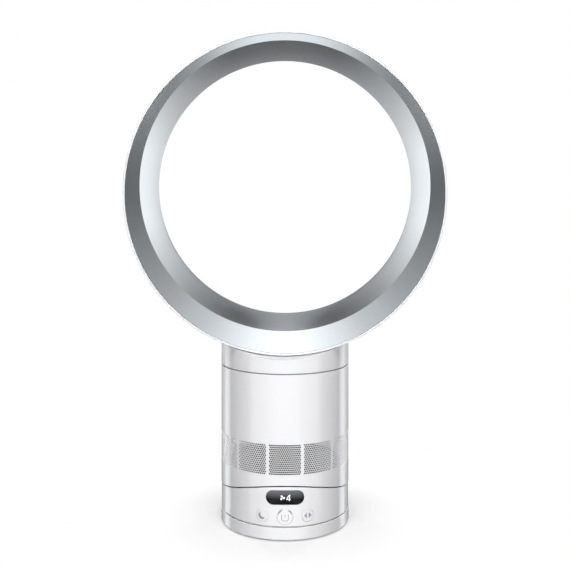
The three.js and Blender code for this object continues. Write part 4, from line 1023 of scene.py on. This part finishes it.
def figure_four(across, height):
    """The figure 4, leaning a little to the right."""
    strokes = ((0.7, -3.3, 1.3, 3.3), (0.8, 3.1, -2.1, -1.0), (-2.4, -1.7, 0.4, -1.7),
               (1.3, -1.7, 2.1, -1.7))
    return [straight(across + x0 * MM, height + z0 * MM, across + x1 * MM, height + z1 * MM,
                     0.72 * MM) for x0, z0, x1, z1 in strokes]


class FAN_OT_make_display_glyphs(bpy.types.Operator):
    """Makes the lit fan sign and the figure on the display"""
    bl_idname = "fan.make_display_glyphs"
    bl_label = "Make display glyphs"

    def execute(self, context):
        top = CONTROL_RADIUS + context.scene.fan_sizes.dome + 0.03 * MM
        for name, glyph in (
                ("Display_fan_sign", fan_sign(-2.9 * MM, WINDOW_MIDDLE + 0.1 * MM)),
                ("Display_figure", figure_four(3.9 * MM, WINDOW_MIDDLE))):
            dress(inlay(name, glyph, top), "control_section", "glyph", "white_casing")
        return {"FINISHED"}


# ---- Base ---------------------------------------------------------------------------------

def turned(name, outline, segments):
    """A closed outline of (radius, height) turned round the column's axis."""
    return new_piece(name, round_column(lambda angle: outline, segments),
                     ring_faces(segments, len(outline)))


class FAN_OT_make_base(bpy.types.Operator):
    """Makes the base casing, its foot ring and the gland of the power inlet"""
    bl_idname = "fan.make_base"
    bl_label = "Make base"

    def execute(self, context):
        sizes = context.scene.fan_sizes
        outer, inner = COLUMN_RADIUS, COLUMN_RADIUS - sizes.wall
        shell = turned("Base_casing_ring", rounded([
            (outer, base_low.z, 0.9 * MM), (outer, base_high.z), (inner, base_high.z),
            (inner, base_low.z)], sizes.edge), 384)
        middle = (gland_low.z + gland_high.z) / 2
        inlet = circle(3.3 * MM, 48, (0.0, middle), 0.5)
        combine(shell, extruded("inlet", inlet, 60 * MM, 80 * MM), "DIFFERENCE")
        dress(shell, "base", "casing", "white_casing", "base_shell")

        outer, inner = foot_high.y, foot_high.y - 6 * MM
        foot = turned("Foot_ring_moulding", rounded([
            (outer, 0.0), (outer, foot_high.z), (inner, foot_high.z), (inner, 0.0)],
            0.6 * MM), 256)
        dress(foot, "base", "rubber", "foot_rubber", "foot_ring")

        bore, sleeve, flange = 2.2 * MM, 3.0 * MM, 3.5 * MM
        step = gland_low.y + 0.5 * MM
        section = [(y, r) for r, y in rounded([
            (bore, gland_low.y), (flange, gland_low.y), (flange, step), (sleeve, step),
            (sleeve, gland_high.y), (bore, gland_high.y)], 0.15 * MM, 3)]
        gland = new_piece("Inlet_gland", round_level_axis(lambda angle: section, 64, middle),
                          ring_faces(64, len(section)))
        dress(gland, "base", "rubber", "foot_rubber", "cable_gland")
        return {"FINISHED"}


# ---- Inner parts --------------------------------------------------------------------------

INNER_FINISHES = {
    "dark": ("base_floor", "control_floor", "display_module", "bucket_lower", "bucket_upper",
             "diffuser", "impeller", "impeller_shroud"),
    "grey": ("tilt_shoe", "inlet_bellmouth", "fan_housing", "top_ring"),
    "acetal": ("thrust_ring", "fixed_gear", "drive_pinion"),
    "rubber": ("lip_seal", "neck_seal"),
    "foam": ("inlet_foam", "outlet_foam"),
    "steel": ("pivot_clip", "drive_motor", "tilt_keeper_left", "tilt_keeper_right",
              "fan_motor", "rotor_shaft"),
    "board": ("switch_board", "control_board", "fan_board"),
}


class FAN_OT_finish_inner_parts(bpy.types.Operator):
    """Gives the carried-over inner parts their materials"""
    bl_idname = "fan.finish_inner_parts"
    bl_label = "Finish inner parts"

    def execute(self, context):
        for material, nodes in INNER_FINISHES.items():
            for node in nodes:
                slots = frame["nodes"][node].data.materials
                slots.clear()
                slots.append(finish(material))
        return {"FINISHED"}


# ---- Studio -------------------------------------------------------------------------------

WHITE = (1.0, 1.0, 1.0, 1.0)
CARD_TINT = (0.97, 0.985, 1.0, 1.0)


def staged(name, corners, material, unseen_by):
    """A flat piece of the studio, which some kinds of ray pass by."""
    piece = new_piece(name, corners, [(0, 1, 2, 3)])
    piece.data.materials.append(material)
    for ray in unseen_by:
        setattr(piece, "visible_" + ray, False)


def soft_box(name, spot, width, height, power):
    """A soft box aimed at the fan. The cards take its place in reflections."""
    lamp = bpy.data.lights.new(name, "AREA")
    lamp.shape = "RECTANGLE"
    lamp.size = width
    lamp.size_y = height
    lamp.energy = power
    holder = bpy.data.objects.new(name, lamp)
    holder.location = spot
    aim = Vector((0.0, 0.0, 0.25)) - Vector(spot)
    holder.rotation_euler = aim.to_track_quat("-Z", "Y").to_euler()
    holder.visible_camera = False
    holder.visible_glossy = False
    bpy.context.scene.collection.objects.link(holder)


def even_run(axis, start, end, low, high):
    """Brightness that runs evenly from low to high, between two distances from zero along
    an axis."""
    def level(tree, place):
        along = add_node(tree, "ShaderNodeSeparateXYZ", {"Vector": place}, axis)
        return add_node(tree, "ShaderNodeMapRange", {
            "Value": add_node(tree, "ShaderNodeMath", {0: along}, operation="ABSOLUTE"),
            "From Min": start, "From Max": end, "To Min": low, "To Max": high})
    return level


def side_glow(tree, place):
    """Brightness of the backdrop: bright to the left and right of the ring's middle, dark
    above and below it, and with more contrast further out."""
    ring_middle = (0.0, 0.0, -0.38)
    from_middle = add_node(tree, "ShaderNodeVectorMath", {
        0: place, 1: ring_middle}, operation="ADD")
    flat = add_node(tree, "ShaderNodeVectorMath", {
        0: from_middle, 1: (1.0, 0.0, 1.0)}, operation="MULTIPLY")
    way = add_node(tree, "ShaderNodeVectorMath", {0: flat}, operation="NORMALIZE")
    steep = add_node(tree, "ShaderNodeMath", {
        0: add_node(tree, "ShaderNodeSeparateXYZ", {"Vector": way}, "Z")},
        operation="ABSOLUTE")
    swing = add_node(tree, "ShaderNodeMapRange", {
        "Value": steep, "From Min": 0.25, "From Max": 0.93, "To Min": 0.9, "To Max": -0.46})
    contrast = add_node(tree, "ShaderNodeMapRange", {
        "Value": add_node(tree, "ShaderNodeVectorMath", {0: flat}, "Value",
                          operation="LENGTH"),
        "From Min": 0.9, "From Max": 1.8, "To Min": 0.42, "To Max": 1.0})
    return add_node(tree, "ShaderNodeMath", {0: swing, 1: contrast, 2: 0.48},
                    operation="MULTIPLY_ADD")


def card_glow(tree, place, level):
    # Lit paper card: an even or evenly changing glow, a touch cooler than white.
    return add_node(tree, "ShaderNodeEmission", {
        "Color": CARD_TINT, "Strength": level(tree, place) if callable(level) else level})


# Cards behind, above, below and in front of the fan: name, four corners and brightness.
# The lacquer mirrors the ones behind and overhead. The casings look down, at the low ones.
MIDDLE_CARDS = (
    ("Backdrop_card",
     ((-2.6, 2.4, -1.8), (2.6, 2.4, -1.8), (2.6, 2.4, 2.6), (-2.6, 2.4, 2.6)), side_glow),
    ("High_card",
     ((-0.55, 2.35, 0.5), (0.55, 2.35, 0.5), (0.25, 2.35, 2.5), (-0.25, 2.35, 2.5)),
     even_run("X", 0.0, 0.5, 0.47, 0.14)),
    ("Overhead_card",
     ((-1.3, -1.7, 1.9), (1.3, -1.7, 1.9), (1.3, 1.0, 1.9), (-1.3, 1.0, 1.9)),
     even_run("X", 0.1, 0.95, 1.68, 0.72)),
    ("Low_card",
     ((-1.15, -1.3, -1.0), (1.15, -1.3, -1.0), (1.15, 0.5, -1.0), (-1.15, 0.5, -1.0)),
     even_run("X", 0.25, 0.9, 1.2, 0.4)),
    ("Front_low_card",
     ((-6.5, -3.0, -4.0), (6.5, -3.0, -4.0), (6.5, -3.0, -0.25), (-6.5, -3.0, -0.25)),
     even_run("X", 1.4, 1.6, 3.1, 2.2)),
)

# Cards that stand at both sides, at this distance unless a corner says otherwise: name,
# corners as (depth, height) or (distance, depth, height), and brightness. The dark ones are
# for the bevel. The edge card puts a light line down each side of the casings.
SIDE = 1.15
SIDE_CARDS = (
    ("Side_card", ((-0.45, -0.9), (0.5, -0.9), (0.5, 1.7), (-0.45, 1.7)),
     even_run("Z", 0.4, 1.5, 0.17, 0.55)),
    ("Side_front_card", ((-1.7, 0.3), (-0.45, 0.3), (-0.45, 1.7), (-1.7, 1.7)),
     even_run("Z", 0.4, 1.5, 0.17, 0.55)),
    ("Side_mid_card", ((-0.9, 0.05), (-0.45, 0.05), (-0.45, 0.3), (-0.9, 0.3)), 0.15),
    ("Side_strip_card", ((-0.6, -0.5), (-0.45, -0.5), (-0.45, 0.05), (-0.6, 0.05)), 0.15),
    ("Side_low_card", ((-1.3, -1.0), (-0.45, -1.0), (-0.45, -0.45), (-1.3, -0.5)), 0.3),
    ("Edge_card",
     ((1.85, 0.72, -1.6), (1.4, 1.36, -1.6), (1.4, 1.36, -0.12), (1.85, 0.72, -0.12)), 3.0),
)


def make_cards():
    """Cards round the fan that only mirroring surfaces see."""
    cards = list(MIDDLE_CARDS)
    for side in (-1, 1):
        for name, corners, level in SIDE_CARDS:
            placed = [corner if len(corner) == 3 else (SIDE, *corner) for corner in corners]
            cards.append((name, [(side * x, y, z) for x, y, z in placed], level))
    for name, corners, level in cards:
        staged(name, corners, new_material(name, card_glow, level),
               ("camera", "diffuse", "shadow", "transmission"))


def studio_floor(tree, place, code):
    # Matt painted floor: it keeps the shadow near the base and turns into the white
    # background further out.
    away = add_node(tree, "ShaderNodeVectorMath", {0: place}, "Value", operation="LENGTH")
    fade = add_node(tree, "ShaderNodeMapRange", {
        "Value": away, "From Min": 0.03, "From Max": 0.15}, interpolation_type="SMOOTHSTEP")
    seen = add_node(tree, "ShaderNodeMath", {
        0: add_node(tree, "ShaderNodeLightPath", {}, "Is Camera Ray"), 1: fade},
        operation="MULTIPLY")
    return white_for_rays(tree, seen, "ShaderNodeBsdfDiffuse", {"Color": linear(code)},
                          "ShaderNodeEmission")


def white_for_rays(tree, camera, plain, plain_inputs, bright):
    """White where the camera, mirrors and glass look, and the plain shader elsewhere.
    Camera is the share of white that the camera sees."""
    clear = camera
    for ray in ("Is Glossy Ray", "Is Transmission Ray"):
        clear = add_node(tree, "ShaderNodeMath", {
            0: clear, 1: add_node(tree, "ShaderNodeLightPath", {}, ray)},
            operation="MAXIMUM")
    return add_node(tree, "ShaderNodeMixShader", {
        "Fac": clear, 1: add_node(tree, plain, plain_inputs),
        2: add_node(tree, bright, {"Color": WHITE, "Strength": 1.0})})


def make_world(room):
    """A surround that lights the fan evenly and looks white."""
    world = bpy.data.worlds.new("Studio_surround")
    world.use_nodes = True
    tree = world.node_tree
    tree.nodes.clear()
    camera = add_node(tree, "ShaderNodeLightPath", {}, "Is Camera Ray")
    add_node(tree, "ShaderNodeOutputWorld", {"Surface": white_for_rays(
        tree, camera, "ShaderNodeBackground", {"Color": WHITE, "Strength": room},
        "ShaderNodeBackground")})
    return world


class FAN_OT_make_studio(bpy.types.Operator):
    """Makes the floor, the soft boxes, the cards, the surround and the camera"""
    bl_idname = "fan.make_studio"
    bl_label = "Make studio"

    def execute(self, context):
        scene = context.scene
        studio = scene.fan_studio
        # Mirrored and scattered rays pass the floor by and reach the surround and the low
        # cards: mirrors see the same white, and the casings aren't lit from below.
        staged("Studio_floor", [(-30, -30, 0), (30, -30, 0), (30, 30, 0), (-30, 30, 0)],
               new_material("studio_floor", studio_floor, scene.fan_colours.floor),
               ("diffuse", "glossy"))
        soft_box("Front_softbox", (0.0, -3.0, 0.6), 1.0, 1.2, studio.front)
        soft_box("Top_softbox", (0.0, -1.3, 3.0), 1.5, 1.5, studio.top)
        for side in (-1, 1):
            soft_box("Rim_softbox", (side * 1.4, 1.7, 0.5), 0.5, 1.0, studio.rim)
        make_cards()
        scene.world = make_world(studio.room)
        scene.view_settings.view_transform = "Standard"
        lens = bpy.data.cameras.new("Camera")
        lens.lens = studio.lens
        lens.sensor_width = 36.0
        lens.shift_y = -studio.drop
        lens.dof.use_dof = False
        camera = bpy.data.objects.new("Camera", lens)
        camera.location = (0.0, -studio.distance, studio.height)
        camera.rotation_euler = (math.pi / 2, 0.0, 0.0)
        scene.collection.objects.link(camera)
        scene.camera = camera
        return {"FINISHED"}


# ---- Panel and registration ---------------------------------------------------------------

SETTINGS = {
    "fan_sizes": FanSizes,
    "fan_counts": FanCounts,
    "fan_colours": FanColours,
    "fan_studio": StudioSettings,
}

OPERATORS = (
    FAN_OT_make_nozzle,
    FAN_OT_make_body_casing,
    FAN_OT_make_tilt_slide,
    FAN_OT_make_control_section,
    FAN_OT_make_buttons,
    FAN_OT_make_display_glyphs,
    FAN_OT_make_base,
    FAN_OT_finish_inner_parts,
    FAN_OT_make_studio,
)


class FAN_PT_panel(bpy.types.Panel):
    """Lists the fan's settings and the steps that make it"""
    bl_idname = "FAN_PT_panel"
    bl_label = "Bladeless fan"
    bl_space_type = "VIEW_3D"
    bl_region_type = "UI"
    bl_category = "Fan"

    def draw(self, context):
        for name in SETTINGS:
            group = getattr(context.scene, name)
            box = self.layout.box()
            for key in group.bl_rna.properties.keys():
                if key not in {"rna_type", "name"}:
                    box.prop(group, key)
        for operator in OPERATORS:
            self.layout.operator(operator.bl_idname)


def register():
    for made in (*SETTINGS.values(), *OPERATORS, FAN_PT_panel):
        bpy.utils.register_class(made)
    for name, group in SETTINGS.items():
        setattr(bpy.types.Scene, name, bpy.props.PointerProperty(type=group))


def unregister():
    for name in SETTINGS:
        delattr(bpy.types.Scene, name)
    for made in reversed((*SETTINGS.values(), *OPERATORS, FAN_PT_panel)):
        bpy.utils.unregister_class(made)


def main():
    register()
    bpy.ops.fan.make_nozzle()
    bpy.ops.fan.make_body_casing()
    bpy.ops.fan.make_tilt_slide()
    bpy.ops.fan.make_control_section()
    bpy.ops.fan.make_buttons()
    bpy.ops.fan.make_display_glyphs()
    bpy.ops.fan.make_base()
    bpy.ops.fan.finish_inner_parts()
    bpy.ops.fan.make_studio()


if __name__ == "__main__":
    main()
